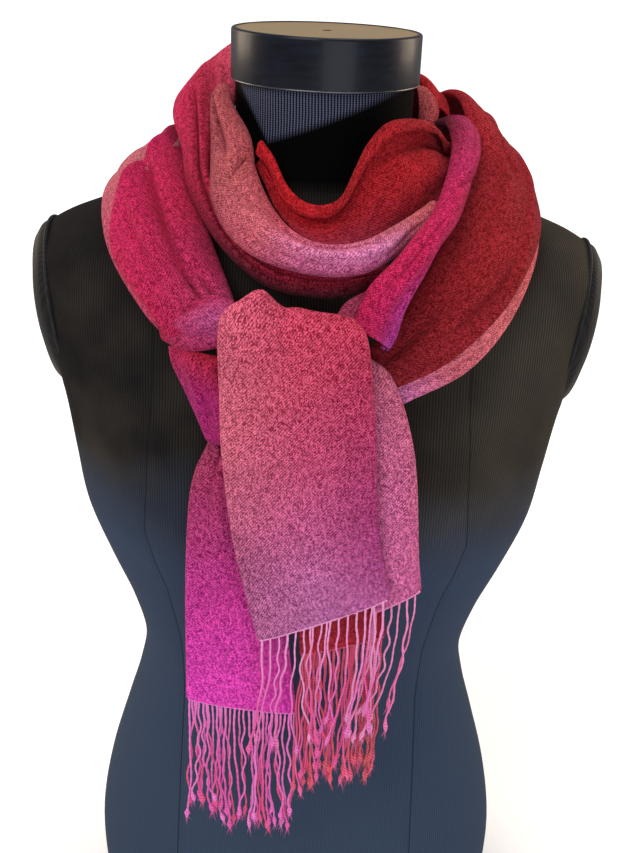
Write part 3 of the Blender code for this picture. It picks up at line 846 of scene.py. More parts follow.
DRAPE_DYE = (
    (0.0, (120, 6, 14), (110, 6, 14), (110, 8, 18)),
    (0.15, (140, 5, 12), (150, 6, 14), (120, 7, 18)),
    (0.3, (160, 6, 14), (172, 8, 18), (140, 10, 26)),
    (0.45, (165, 7, 14), (170, 9, 20), (140, 20, 42)),
    (0.58, (165, 8, 15), (160, 10, 22), (150, 36, 62)),
    (0.68, (180, 9, 16), (178, 11, 22), (150, 30, 50)),
    (0.8, (198, 11, 19), (196, 12, 21), (160, 14, 26)),
    (1.0, (200, 14, 24), (200, 14, 24), (165, 14, 26)),
)

# The salmon roll: down the left of the neck and across the front
ROLL = (
    (-63, -8, 666, -70, -12, 655, 2),
    (-57, -31, 657, -68, -30.5, 646.5, 5),
    (-45, -50, 643, -66, -55.1, 627.1, 6),
    (-40, -66, 628, -63, -83.1, 613.1, 7),
    (-31, -88, 614, -53, -101.5, 598.5, 7),
    (-19, -106, 603, -37, -117, 589, 7),
    (-3, -117, 596, -14, -126, 583, 7),
    (14, -118, 595, 12, -128, 581, 6),
    (31, -112, 598, 34, -121, 584, 6),
    (47, -91, 602, 52, -100, 591, 5),
    (60, -80, 608, 65, -86, 597, 3),
    (68, -71, 612, 72, -75, 604, 2),
)
ROLL_FOLDS = (
    (0.45, 2, 0.18, 0.1, 0.9),
    (0.2, -2, 0.07, 0.3, 0.9),
)
ROLL_CREASES = (
    (0.02, 0.62, 0.3, 0.5, -5.5, 2.4),
    (0.26, 0.0, 0.33, 0.55, -5.5, 2.4),
    (0.04, 0.3, 0.24, 0.2, 2.0, 4.0),
    (0.3, 0.62, 0.5, 0.3, -3.5, 2.2),
    (0.33, 0.1, 0.5, 0.35, 2.0, 3.0),
    (0.42, 0.75, 0.74, 0.68, -3.5, 2.2),
    (0.5, 0.22, 0.86, 0.4, -2.2, 2.2),
    (0.74, 0.8, 0.95, 0.5, -2.5, 2.2),
)
# Darker towards the lower edge over its first third: painted shade on the roll's left part beside
# the fold.
ROLL_DYE_AND_SHADE = (
    (0.0, (190, 84, 82), (160, 72, 76), (140, 55, 64)),
    (0.2, (195, 92, 90), (178, 86, 88), (140, 62, 70)),
    (0.32, (190, 84, 84), (190, 94, 94), (160, 72, 80)),
    (0.5, (185, 66, 80), (205, 104, 112), (188, 84, 100)),
    (0.62, (200, 88, 112), (220, 128, 165), (186, 88, 128)),
    (0.78, (200, 100, 115), (220, 136, 178), (175, 75, 120)),
    (0.9, (205, 105, 105), (205, 105, 118), (150, 45, 75)),
    (1.0, (190, 85, 85), (180, 75, 82), (130, 25, 45)),
)

# The magenta roll at the right, and the small fold that shows beside it
RIGHT_ROLL = (
    (68, 13, 641, 79, 24, 641, 2),
    (73, 3, 647, 88, 9, 646, 4),
    (79, -11, 649.3, 97, -7, 643, 5),
    (82, -31, 639.3, 98, -27, 632, 5),
    (77, -57, 624, 91, -54, 619, 5),
    (68, -87, 610, 82, -84, 605, 4),
    (56, -109, 599, 71, -104, 594, 4),
    (45, -123, 588, 62, -119, 580, 4),
    (32, -131, 575, 52, -128, 563, 4),
    (26.2, -134.4, 561, 47, -132, 546, 3),
    (25.2, -138.4, 552, 43, -137, 541, 2),
)
RIGHT_ROLL_CREASES = (
    (0.0, 0.3, 0.17, 0.36, -7.0, 3.2),
    (0.12, 0.75, 0.36, 0.5, -2.5, 2.5),
    (0.36, 1.0, 0.47, 0.4, -4.0, 2.5),
    (0.42, 0.75, 0.62, 0.5, 1.8, 3.0),
    (0.52, 0.55, 0.95, 0.3, -3.0, 2.4),
    (0.7, 0.85, 1.0, 0.7, -2.5, 2.4),
)
# Near-black at its start: painted shade where the roll comes out from under the collar's end.
RIGHT_ROLL_DYE_AND_SHADE = (
    (0.0, (50, 5, 14), (90, 14, 34), (120, 18, 50)),
    (0.1, (70, 6, 22), (160, 36, 78), (150, 24, 62)),
    (0.2, (130, 16, 45), (180, 40, 92), (160, 24, 70)),
    (0.35, (178, 30, 85), (190, 28, 95), (165, 20, 75)),
    (0.5, (195, 26, 86), (198, 20, 84), (165, 18, 70)),
    (0.75, (200, 24, 80), (200, 20, 82), (175, 22, 88)),
    (1.0, (195, 24, 80), (185, 24, 90), (165, 60, 150)),
)
UNDER_FOLD = (
    (42, -116, 572, 51, -115, 563, 2),
    (29, -118, 568, 43, -117, 556, 3),
    (18.2, -123.2, 562.9, 34.2, -123.2, 549.9, 3),
    (13.2, -126.2, 555.9, 26.2, -126.2, 544.9, 2),
)
UNDER_FOLD_DYE = (
    (0.0, (140, 35, 60), (160, 60, 85), (140, 40, 70)),
    (1.0, (175, 65, 95), (180, 70, 105), (165, 50, 90)),
)

# The knot
KNOT_TOP = (
    (-46, -124, 561, -47, -140.5, 544, 2),
    (-58, -121, 563, -57, -139, 539, 3),
    (-73, -119, 556, -74, -132, 534, 3),
    (-88, -117, 545, -87, -121, 535, 2),
)
KNOT_TOP_CREASES = (
    (0.0, 0.85, 0.9, 0.55, -3.5, 3.0),
    (0.1, 0.4, 0.95, 0.35, 2.0, 4.0),
    (0.2, 0.1, 0.8, 0.2, -2.0, 2.5),
)
KNOT_TOP_DYE = (
    (0.0, (184, 52, 100), (194, 92, 150), (150, 35, 90)),
    (0.5, (182, 28, 78), (190, 70, 122), (165, 35, 85)),
    (1.0, (180, 20, 66), (182, 22, 70), (150, 18, 55)),
)
KNOT_BODY = (
    (-83, -124.5, 533, -38, -132.1, 525.5, 5),
    (-81, -128, 524, -37.5, -136.5, 519.2, 8),
    (-74, -131, 510, -37.5, -139.5, 506.2, 8),
    (-66, -133, 493, -38.5, -140.5, 491.2, 7),
    (-61, -133, 480, -42, -138.3, 479, 5),
)
KNOT_DYE = (
    (0.0, (165, 24, 66), (185, 26, 48), (165, 22, 45)),
    (0.25, (165, 28, 95), (175, 30, 85), (165, 26, 70)),
    (0.5, (165, 26, 105), (175, 30, 112), (165, 30, 95)),
    (1.0, (160, 20, 100), (165, 20, 100), (140, 18, 85)),
)
KNOT_CREASES = (
    (0.0, 0.8, 0.75, 0.3, -3.5, 3.0),
    (0.0, 0.45, 0.95, 0.3, -3.0, 3.0),
    (0.05, 0.95, 0.95, 0.65, 2.5, 3.5),
    (0.1, 0.2, 0.6, 0.12, -2.0, 3.0),
)

# The tails
FRONT_TAIL = (
    (-36, -128, 546, 20, -128, 542, 1),
    (-43, -137, 562, 22, -136, 557, 1),
    (-50, -146, 560, 27, -144, 556, 2),
    (-52, -150, 547, 31, -150, 546, 4),
    (-51, -152, 522, 35, -152, 520, 4),
    (-49, -155, 480, 39, -155, 478, 4),
    (-43, -157, 430, 43, -157, 434, 4),
    (-35, -158, 392, 48, -158, 410, 4),
    (-26, -158, 355, 52, -158, 389, 3),
)
FRONT_DYE = (
    (0.0, (196, 66, 88), (204, 30, 66), (200, 16, 60)),
    (0.12, (208, 84, 106), (208, 46, 80), (198, 18, 64)),
    (0.3, (214, 96, 114), (206, 58, 90), (190, 20, 78)),
    (0.5, (208, 98, 116), (204, 68, 110), (176, 20, 96)),
    (0.7, (194, 88, 122), (202, 86, 138), (170, 28, 112)),
    (0.85, (170, 80, 126), (196, 102, 160), (178, 56, 132)),
    (1.0, (176, 92, 140), (196, 110, 170), (182, 78, 144)),
)
SIDE_TAIL = (
    (8, -130.2, 537.4, 31, -130.2, 533.4, 2),
    (14, -136.9, 528, 42, -136.9, 528, 3),
    (20, -139, 514, 51, -139, 513, 3),
    (28, -142, 488, 59, -142, 489, 3),
    (34, -144, 460, 64, -144, 463, 3),
    (40, -146, 410, 69, -146, 411, 3),
    (44, -147, 372, 72, -147, 389, 2),
)
SIDE_DYE = (
    (0.0, (170, 75, 98), (190, 90, 114), (190, 90, 110)),
    (0.4, (196, 88, 128), (206, 98, 140), (202, 96, 130)),
    (1.0, (210, 100, 156), (218, 110, 166), (212, 94, 150)),
)
INNER_TAIL = (
    (-12, -133.3, 520, 26, -133.3, 520, 3),
    (-10, -135.2, 470, 38, -135.2, 470, 3),
    (-6, -137.7, 420, 46, -137.7, 422, 3),
    (0, -139.4, 333, 53, -139.4, 350, 2),
)
INNER_DYE = (
    (0.0, (130, 14, 28), (130, 14, 28), (130, 14, 28)),
    (1.0, (190, 50, 60), (182, 42, 52), (172, 38, 48)),
)
LEFT_TAIL = (
    (-54.3, -125.2, 489.2, -44.3, -125.2, 489.2, 1),
    (-60.3, -131.2, 472.2, -39.3, -131.2, 473.2, 3),
    (-67, -134.5, 456, -36, -134.5, 457, 5),
    (-71, -135.5, 430, -24, -135.5, 430, 4),
    (-73, -136, 375, -12, -136, 375, 3),
    (-73, -136, 330, -7, -136, 330, 3),
    (-73, -136, 292, -1, -136, 284, 3),
)
LEFT_DYE = (
    (0.0, (140, 10, 62), (145, 12, 68), (110, 8, 55)),
    (0.18, (164, 12, 82), (176, 12, 92), (140, 8, 82)),
    (0.35, (176, 12, 106), (178, 12, 112), (140, 10, 94)),
    (0.6, (206, 18, 148), (208, 20, 150), (180, 16, 128)),
    (1.0, (238, 48, 192), (240, 52, 194), (222, 38, 178)),
)
FRONT_FOLDS = (
    (0.24, 2, 0.1, 0.0, 0.3),
    (0.35, 1.5, 0.2, 0.2, 0.9),
    (0.75, 1.5, 0.15, 0.2, 1.0),
)
FRONT_PEAKS = (
    (0.19, 12, 0.13, 0.24),
    (0.5, 3, 0.16, 0.2),
)
FRONT_CREASES = (
    (0.05, 0.42, 0.24, 0.47, -1.5, 4.5),
    (0.1, 0.75, 0.3, 0.62, -1.2, 6.0),
    (0.1, 0.12, 0.5, 0.08, 1.2, 5.0),
    (0.3, 0.3, 0.85, 0.36, 1.2, 10.0),
    (0.4, 0.66, 0.95, 0.6, -1.2, 8.0),
    (0.7, 0.15, 1.0, 0.1, -1.2, 5.0),
)
LEFT_CREASES = (
    (0.03, 0.5, 0.32, 0.22, -3.5, 3.5),
    (0.05, 0.7, 0.5, 0.62, -2.5, 3.5),
    (0.1, 0.35, 0.4, 0.42, 2.0, 4.0),
    (0.4, 0.2, 0.9, 0.28, -1.2, 6.0),
    (0.5, 0.6, 1.0, 0.5, 1.2, 8.0),
)
SIDE_CREASES = (
    (0.1, 0.6, 0.6, 0.75, -1.5, 4.0),
    (0.5, 0.8, 0.95, 0.65, 1.2, 5.0),
)
TAIL_FOLDS = ((0.35, 2, 0.2, 0.1, 0.9), (0.75, 1.5, 0.15, 0.2, 1.0))
KNOT_FOLDS = ((0.3, 3, 0.14, 0.0, 1.0), (0.62, 2.5, 0.12, 0.1, 1.0))

# Edges that are rolled under, as radius and length, and edges left flat
ROLLED = (2.6, 4)
SLIM = (2.2, 1)
FLAT = (0, 0)


def build_scarf(wrap, tail):
    return (
        stretch("outer_cloth", "outer_wrap", OUTER_WRAP, OUTER_DYE, wrap, (ROLLED, (2.2, 6)),
                320, 52, 0.8, 2, ["form_torso"], folds=OUTER_FOLDS, creases=OUTER_CREASES),
        stretch("collar_cloth", "collar_wrap", COLLAR, COLLAR_DYE_AND_SHADE, wrap, (ROLLED, ROLLED),
                280, 60, 0.6, 3, ["outer_cloth"], folds=COLLAR_FOLDS, creases=COLLAR_CREASES),
        stretch("neck_fold_cloth", "neck_fold", NECK_FOLD, NECK_FOLD_DYE, wrap, (FLAT, (1.8, 1)),
                60, 20, 0.2, 4, ["collar_cloth"]),
        stretch("drape_cloth", "cowl_drape", DRAPE, DRAPE_DYE, wrap, ((2.4, 5), FLAT),
                180, 60, 0.5, 5, ["cowl_cloth"], out=-1, folds=DRAPE_FOLDS,
                creases=DRAPE_CREASES),
        stretch("cowl_cloth", "cowl_roll", ROLL, ROLL_DYE_AND_SHADE, wrap, (ROLLED, ROLLED),
                200, 40, 0.5, 6, ["collar_cloth"], out=-1, folds=ROLL_FOLDS,
                creases=ROLL_CREASES),
        stretch("right_roll_cloth", "right_roll", RIGHT_ROLL, RIGHT_ROLL_DYE_AND_SHADE, wrap, (SLIM, SLIM),
                200, 36, 0.5, 7, ["outer_cloth"], creases=RIGHT_ROLL_CREASES),
        stretch("under_fold_cloth", "right_under_fold", UNDER_FOLD, UNDER_FOLD_DYE, wrap,
                (FLAT, FLAT), 60, 24, 0.3, 8, ["front_cloth"]),
        stretch("knot_top_cloth", "knot_top_fold", KNOT_TOP, KNOT_TOP_DYE, wrap, (FLAT, (2.2, 2)),
                70, 36, 0.3, 9, ["outer_cloth"], creases=KNOT_TOP_CREASES),
        stretch("knot_cloth", "knot_body", KNOT_BODY, KNOT_DYE, wrap, ((2.2, 3), FLAT),
                80, 50, 0.4, 10, ["front_cloth"], folds=KNOT_FOLDS, creases=KNOT_CREASES),
        stretch("front_cloth", "front_tail", FRONT_TAIL, FRONT_DYE, tail, ((2.4, 6), (2.4, 6)),
                240, 64, 0.35, 11, ["knot_cloth"], folds=FRONT_FOLDS, creases=FRONT_CREASES,
                peaks=FRONT_PEAKS, held="hung"),
        stretch("side_cloth", "side_tail", SIDE_TAIL, SIDE_DYE, tail, (FLAT, (2.4, 4)),
                170, 30, 0.3, 12, ["front_cloth"], creases=SIDE_CREASES, held="hung"),
        stretch("inner_cloth", "inner_tail", INNER_TAIL, INNER_DYE, wrap, (FLAT, FLAT),
                150, 40, 0.4, 13, ["side_cloth"], held="hung"),
        stretch("left_cloth", "left_tail", LEFT_TAIL, LEFT_DYE, tail, ((2.4, 5), FLAT),
                200, 44, 0.35, 14, ["knot_cloth"], folds=TAIL_FOLDS, creases=LEFT_CREASES,
                held="hung"),
    )


# The fringe


def tube(path, radius, sides, lobes=0.0, turn=0.0):
    """Rings round a path, as points and lengths, with a two-ply cross-section if it has lobes."""
    steps = len(path)
    ahead = np.gradient(path, axis=0)
    ahead /= np.linalg.norm(ahead, axis=1)[:, None]
    across = np.cross(ahead, np.array((0.0, 1.0, 0.0)))
    across /= np.linalg.norm(across, axis=1)[:, None]
    deep = np.cross(ahead, across)
    gone = run_along(path)
    angle = np.arange(sides) / sides * 2 * np.pi
    swell = 1 + lobes * np.cos(2 * (angle[None] - gone[:, None] * 2 * np.pi / PLY_TURN - turn))
    size = radius[:, None] * swell
    points = path[:, None] + across[:, None] * (size * np.cos(angle))[..., None]
    points = points + deep[:, None] * (size * np.sin(angle))[..., None]
    places = np.stack(np.broadcast_arrays(angle[None] / (2 * np.pi) * 2.0, gone[:, None] * MM), -1)
    return points.reshape(steps * sides, 3), places.reshape(-1, 2)


def yarns(material, name, node, hem, count, sway, lean, seed, dyes, extra, stray, reach):
    """Twisted yarns that hang from a hem, each with a knot and a frayed end."""
    one, two = np.array(hem[:3], float), np.array(hem[3:6], float)
    width = np.linalg.norm(two - one)
    across = (two - one) / width
    down = np.array((across[2], 0.0, -across[0]))
    rng = np.random.default_rng(seed)
    loose = np.random.default_rng(seed + 100)
    phase = rng.uniform(0, 6.28)
    points, faces, places, colours = [], [], [], []
    total = 0

    def keep(ring_points, ring_places, sides, colour):
        nonlocal total
        for face in closed_faces(len(ring_points) // sides, sides):
            faces.append([k + total for k in face])
        points.append(ring_points)
        places.append(ring_places)
        colours.append(np.repeat(colour, sides, axis=0))
        total += len(ring_points)

    lane = width / count
    for i in range(count + extra):
        own = i < count
        source = rng if own else loose
        middle = (i + 0.5) * lane if own else loose.uniform(0.03, 0.97) * width
        length = source.uniform(FRINGE_SHORT, FRINGE_LONG)
        swing = phase + i * 0.55 + source.uniform(-0.35, 0.35)
        depth = LANE_APART * (1 if i % 2 else -1) * (1.0 if own else 0.2)
        tip = source.uniform(-0.8, 0.8)
        s = middle / width
        lift = hem[6] * (4 * s * (1 - s)) ** 0.8
        root = one + across * middle + np.array((0.0, -lift + 0.6, 0.0)) - down * 0.8
        t = np.linspace(0, 1, YARN_STEPS)
        small = loose.uniform(0.2, 1.3)
        astray = loose.uniform(-1, 1) * stray
        curl = loose.uniform(13, 30)
        path = root + np.stack([
            sway * np.sin(swing + 4.2 * t) * t + lean * t * t + tip * t + astray * t**1.5
            + small * np.sin(swing * 3 + curl * t) * np.minimum(1.0, 4 * t),
            depth * np.minimum(1.0, 2.5 * t) + 0.6 * np.sin(swing * 2 + 5 * t),
            -length * reach * t,
        ], -1)
        radius = YARN * loose.uniform(0.85, 1.1) * np.ones(YARN_STEPS)
        away = (t - YARN_KNOT) * length
        radius *= 1 + 1.7 * bell(away / 2.4)
        radius[-1] *= 0.5
        ends = linear(dyes[loose.integers(len(dyes))])
        pale = linear(dyes[0])
        colour = pale + (ends - pale) * np.clip(t * 1.6, 0, 1)[:, None]
        ring_points, ring_places = tube(path, radius, YARN_SIDES, 0.2, loose.uniform(0, 6.28))
        keep(ring_points, ring_places, YARN_SIDES, colour)
        u = np.linspace(0, 1, 5)[:, None]
        for _ in range(HAIRS):
            spread = loose.uniform(-1, 1, 3) * (3.2, 2.2, 0)
            long = loose.uniform(5, 10)
            hair = path[-3] + spread * u**1.3 + np.array((0, 0, -long)) * u
            ring_points, ring_places = tube(hair, HAIR * (1.05 - u[:, 0]), 3)
            keep(ring_points, ring_places, 3, np.repeat(ends[None], 5, axis=0))
    # The whipped edge that the yarns leave from
    s = np.linspace(0.01, 0.99, HEM_STEPS)
    lift = hem[6] * (4 * s * (1 - s)) ** 0.8
    edge = one + across * (s * width)[:, None] + down * 0.5
    edge[:, 1] += 0.2 - lift
    ring_points, ring_places = tube(edge[:, [0, 2, 1]], np.ones(HEM_STEPS), 6, 0.15)
    edge_dye = np.repeat(linear(dyes[0])[None], HEM_STEPS, axis=0)
    keep(ring_points[:, [0, 2, 1]], ring_places, 6, edge_dye)
    made = mesh_from(name, np.vstack(points), faces, material)
    add_map(made, "yarn", np.vstack(places))
    add_dye(made, np.vstack(colours))
    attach(made, "root")
    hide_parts(node)
    return made


FRONT_YARNS = ((252, 168, 224), (244, 92, 200), (244, 40, 160), (252, 120, 200))
SIDE_YARNS = ((252, 146, 206), (250, 100, 176))
INNER_YARNS = ((226, 24, 88), (244, 18, 76), (236, 24, 146), (204, 12, 44), (244, 66, 156))
LEFT_YARNS = ((246, 116, 214), (240, 30, 174), (240, 22, 128), (246, 92, 204))

# The cloth that each fringe hangs from, then the fringe: its name, its node, its hem, how many
# yarns, their sway and lean, seed, dyes, how many loose ones more, how far they stray, length share
FRINGES = {
    "front_cloth": ("front_yarns", "fringe_front", FRONT_TAIL[-1], 15, 4.0, 0.0, 3, FRONT_YARNS,
                    3, 5.0, 1.0),
    "side_cloth": ("side_yarns", "fringe_side", SIDE_TAIL[-1], 6, 3.0, -9.0, 5, SIDE_YARNS,
                   2, 5.0, 1.0),
    "inner_cloth": ("inner_yarns", "fringe_inner", INNER_TAIL[-1], 18, 3.0, 0.0, 8, INNER_YARNS,
                    26, 7.0, 1.12),
    "left_cloth": ("left_yarns", "fringe_left", LEFT_TAIL[-1], 24, 3.0, 3.0, 13, LEFT_YARNS,
                   12, 6.0, 1.0),
}


# The dress form
# Form sections: height, half width, depth in front, depth behind, squareness
TORSO = (
    (0, 152, 96, 100, 2.25),
    (40, 158, 99, 104, 2.25),
    (90, 159, 100, 106, 2.25),
    (140, 151, 98, 100, 2.2),
    (190, 137, 94, 90, 2.2),
    (228, 126, 89, 80, 2.15),
    (262, 121, 86, 74, 2.1),
    (300, 130, 89, 76, 2.15),
    (340, 146, 95, 82, 2.2),
    (380, 160, 100, 88, 2.25),
    (420, 166, 102, 92, 2.3),
    (460, 172, 99, 94, 2.35),
    (500, 182, 93, 95, 2.35),
    (535, 189, 86, 93, 2.3),
    (556, 189, 80, 89, 2.2),
    (570, 181, 74, 84, 1.95),
    (579, 168, 69, 78, 1.8),
    (586, 152, 66, 74, 1.7),
    (592, 135, 65, 71, 1.65),
    (599, 111, 63, 69, 1.7),
    (606, 91, 61, 66, 1.75),
    (614, 75, 60, 63, 1.85),
    (623, 64, 58, 60, 1.95),
    (634, 58.5, 56.5, 57.5, 2.0),
    (648, 56.5, 56.5, 56.5, 2.0),
    (669, 56.5, 56.5, 56.5, 2.0),
)
# Shaped seams in front and behind: height, then how far from the middle
FRONT_SEAM = (
    (0, 92), (110, 88), (175, 86), (245, 84), (290, 86), (338, 94), (360, 101),
    (390, 106), (429, 102), (462, 101), (500, 99), (545, 100), (600, 104),
)
BACK_SEAM = ((0, 66), (150, 60), (262, 46), (360, 66), (460, 84), (600, 92))


def torso_ring(height, half, front, behind, square):
    angle = 2 * np.pi * np.arange(TORSO_SIDES) / TORSO_SIDES + np.pi / 2
    c, s = np.cos(angle), np.sin(angle)
    x = half * np.sign(c) * np.abs(c) ** (2 / square)
    y = np.where(s > 0, behind, front) * np.sign(s) * np.abs(s) ** (2 / square)
    level = ((height - BUST_HEIGHT) / BUST_TALL) ** 2
    for side in (-1, 1):
        away = ((x - side * BUST_APART) / BUST_WIDE) ** 2 + level
        y = y - np.where(s < 0, BUST_OUT * np.exp(-away) * np.minimum(1.0, -s * 1.6), 0.0)
    return np.stack([x, y, np.full(TORSO_SIDES, float(height))], -1)


def seam_offsets(points):
    """Signed distances in millimetres from the upright seams, the middle seam, and hem and neck."""
    x, y, z = points.T
    front = np.interp(z, *np.array(FRONT_SEAM).T)
    back = np.interp(z, *np.array(BACK_SEAM).T)
    shaped = np.where(y < 0, np.abs(x) - front, back - np.abs(x))
    upright = np.where(np.abs(y - SIDE_SEAM) < np.abs(shaped), SIDE_SEAM - y, shaped)
    on_neck = z > NECK_SEAM + 3.0
    upright = np.where(on_neck, NO_SEAM, upright)
    middle = np.where((y < 0) | on_neck, NO_SEAM, x)
    level = np.where(z > 309, NECK_SEAM - z, z - HEM_SEAM)
    return np.stack([upright, middle, level])


def arm_frame():
    """The arm opening's lean, its middle and its height."""
    lean = math.atan2(ARM_PLATE_TOP_X - ARM_PLATE_LOW_X, ARM_PLATE_TOP_Z - ARM_PLATE_LOW_Z)
    mid_x = (ARM_PLATE_TOP_X + ARM_PLATE_LOW_X) / 2
    mid_z = (ARM_PLATE_TOP_Z + ARM_PLATE_LOW_Z) / 2
    tall = math.hypot(ARM_PLATE_TOP_X - ARM_PLATE_LOW_X, ARM_PLATE_TOP_Z - ARM_PLATE_LOW_Z)
    return lean, mid_x, mid_z, tall


def oval(side, far):
    """Points of the arm opening's cut, this far out from the opening."""
    lean, mid_x, mid_z, tall = arm_frame()
    angle = side * 2 * np.pi * np.arange(ARM_SIDES) / ARM_SIDES
    deep = (ARM_PLATE_DEEP + ARM_CUT_WIDER) * np.cos(angle)
    up = (tall / 2 + ARM_CUT_WIDER) * np.sin(angle)
    x = mid_x + far * math.cos(lean) + up * math.sin(lean)
    z = mid_z - far * math.sin(lean) + up * math.cos(lean)
    return np.stack([side * x, deep, z], -1)


def build_torso(jersey):
    fine = through(TORSO)
    heights = np.interp(np.linspace(0, 1, TORSO_RINGS), np.linspace(0, 1, len(fine)), fine[:, 0])
    rings = []
    for height in heights:
        values = [float(np.interp(height, fine[:, 0], fine[:, k])) for k in range(1, 5)]
        rings.append(torso_ring(height, *values))
    rings = np.array(rings)
    faces = closed_faces(TORSO_RINGS, TORSO_SIDES)
    made = mesh_from("torso", rings.reshape(-1, 3), faces, jersey)
    around = run_along(np.concatenate([rings, rings[:, :1]], axis=1))
    around -= around[:, -1:] / 2
    layer = made.data.uv_layers.new(name="knit")
    places = np.zeros((len(made.data.loops), 2), np.float32)
    for face in made.data.polygons[: (TORSO_RINGS - 1) * TORSO_SIDES]:
        row, column = divmod(face.index, TORSO_SIDES)
        corners = ((row, column), (row, column + 1), (row + 1, column + 1), (row + 1, column))
        for loop, (i, j) in zip(face.loop_indices, corners):
            places[loop] = (around[i, j] * MM, heights[i] * MM)
    layer.data.foreach_set("uv", places.reshape(-1))
    offsets = seam_offsets(rings.reshape(-1, 3)).astype(np.float32)
    for label, values in zip(SEAMS, offsets):
        seam = made.data.attributes.new(name=label, type="FLOAT", domain="POINT")
        seam.data.foreach_set("value", values)
    cutters = []
    for side in (-1, 1):
        ends = np.vstack([oval(side, 0), oval(side, ARM_CUT_DEEP)])
        cutter = mesh_from("arm_cut", ends, closed_faces(2, ARM_SIDES), jersey)
        work = bmesh.new()
        work.from_mesh(cutter.data)
        bmesh.ops.recalc_face_normals(work, faces=work.faces)
        work.to_mesh(cutter.data)
        work.free()
        cut = made.modifiers.new("arm", "BOOLEAN")
        cut.operation = "DIFFERENCE"
        cut.solver = "EXACT"
        cut.object = cutter
        cutters.append(cutter)
    apply_modifiers(made)
    for cutter in cutters:
        bpy.data.objects.remove(cutter, do_unlink=True)
    pick(made)
    bpy.ops.object.shade_smooth_by_angle(angle=math.radians(40))
    made.select_set(False)
    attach(made, "root")
    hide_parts("form_torso")


def finish_piece(name, material, node):
    made = bpy.context.object
    made.name = name
    made.data.name = name
    bpy.ops.object.transform_apply(location=True, rotation=True, scale=True)
    made.data.materials.clear()
    made.data.materials.append(material)
    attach(made, "root")
    if node:
        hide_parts(node)
    return made


def bevel(made, width, segments):
    """Round off the piece's sharp edges, by this many millimetres."""
    edge = made.modifiers.new("edge", "BEVEL")
    edge.width = width * MM
    edge.segments = segments
    edge.limit_method = "ANGLE"
    bpy.ops.object.modifier_apply(modifier="edge")


# How an arm plate domes: how far out, how much of its size is left
ARM_DOME = ((0.35, 0.97), (0.65, 0.86), (0.88, 0.62), (0.98, 0.3))


def build_arm(side, name, jersey):
    """The domed plate in an arm opening, and the piping round it."""
    lean, mid_x, mid_z, tall = arm_frame()
    start_fresh()
    bpy.ops.mesh.primitive_circle_add(vertices=ARM_SIDES, radius=1.0, fill_type="NGON")
    bpy.ops.object.mode_set(mode="EDIT")
    bpy.ops.mesh.select_all(action="SELECT")
    size = 1.0
    reach = 0.0
    for out, share in ARM_DOME:
        lift = (out - reach) * ARM_PLATE_DOME * MM
        bpy.ops.mesh.extrude_region_move(TRANSFORM_OT_translate={"value": (0, 0, lift)})
        bpy.ops.transform.resize(value=(share / size, share / size, 1.0))
        size = share
        reach = out
    bpy.ops.mesh.inset(thickness=0.12)
    bpy.ops.mesh.select_all(action="SELECT")
    bpy.ops.mesh.normals_make_consistent(inside=False)
    bpy.ops.object.mode_set(mode="OBJECT")
    made = bpy.context.object
    made.scale = (tall / 2 * MM, ARM_PLATE_DEEP * MM, 1.0)
    bpy.ops.object.transform_apply(location=False, rotation=False, scale=True)
    bevel(made, 1.2, 2)
    turn = Matrix.Rotation(side * (math.pi / 2 + lean), 4, "Y")
    far = Vector((math.cos(lean), 0.0, -math.sin(lean))) * NODE_GAP
    place = Vector((side * (mid_x + far.x), 0.0, mid_z + far.z)) * MM
    made.matrix_world = Matrix.Translation(place) @ turn
    bpy.ops.object.shade_smooth_by_angle(angle=math.radians(50))
    finish_piece("arm_plate_" + name, jersey, "arm_cap_" + name)
    start_fresh()
    bpy.ops.curve.primitive_bezier_circle_add(radius=1.0)
    ring = bpy.context.object
    bpy.ops.object.mode_set(mode="EDIT")
    bpy.ops.curve.select_all(action="SELECT")
    bpy.ops.transform.resize(value=((tall / 2 + 0.8) * MM, (ARM_PLATE_DEEP + 0.8) * MM, 1.0))
    bpy.ops.object.mode_set(mode="OBJECT")
    ring.data.bevel_depth = PIPING_THICK * MM
    ring.data.bevel_resolution = 3
    ring.data.resolution_u = 24
    ring.matrix_world = Matrix.Translation(place) @ turn
    ring.select_set(True)
    bpy.ops.object.convert(target="MESH")
    bpy.ops.object.shade_smooth()
    finish_piece("arm_piping_" + name, jersey, None)


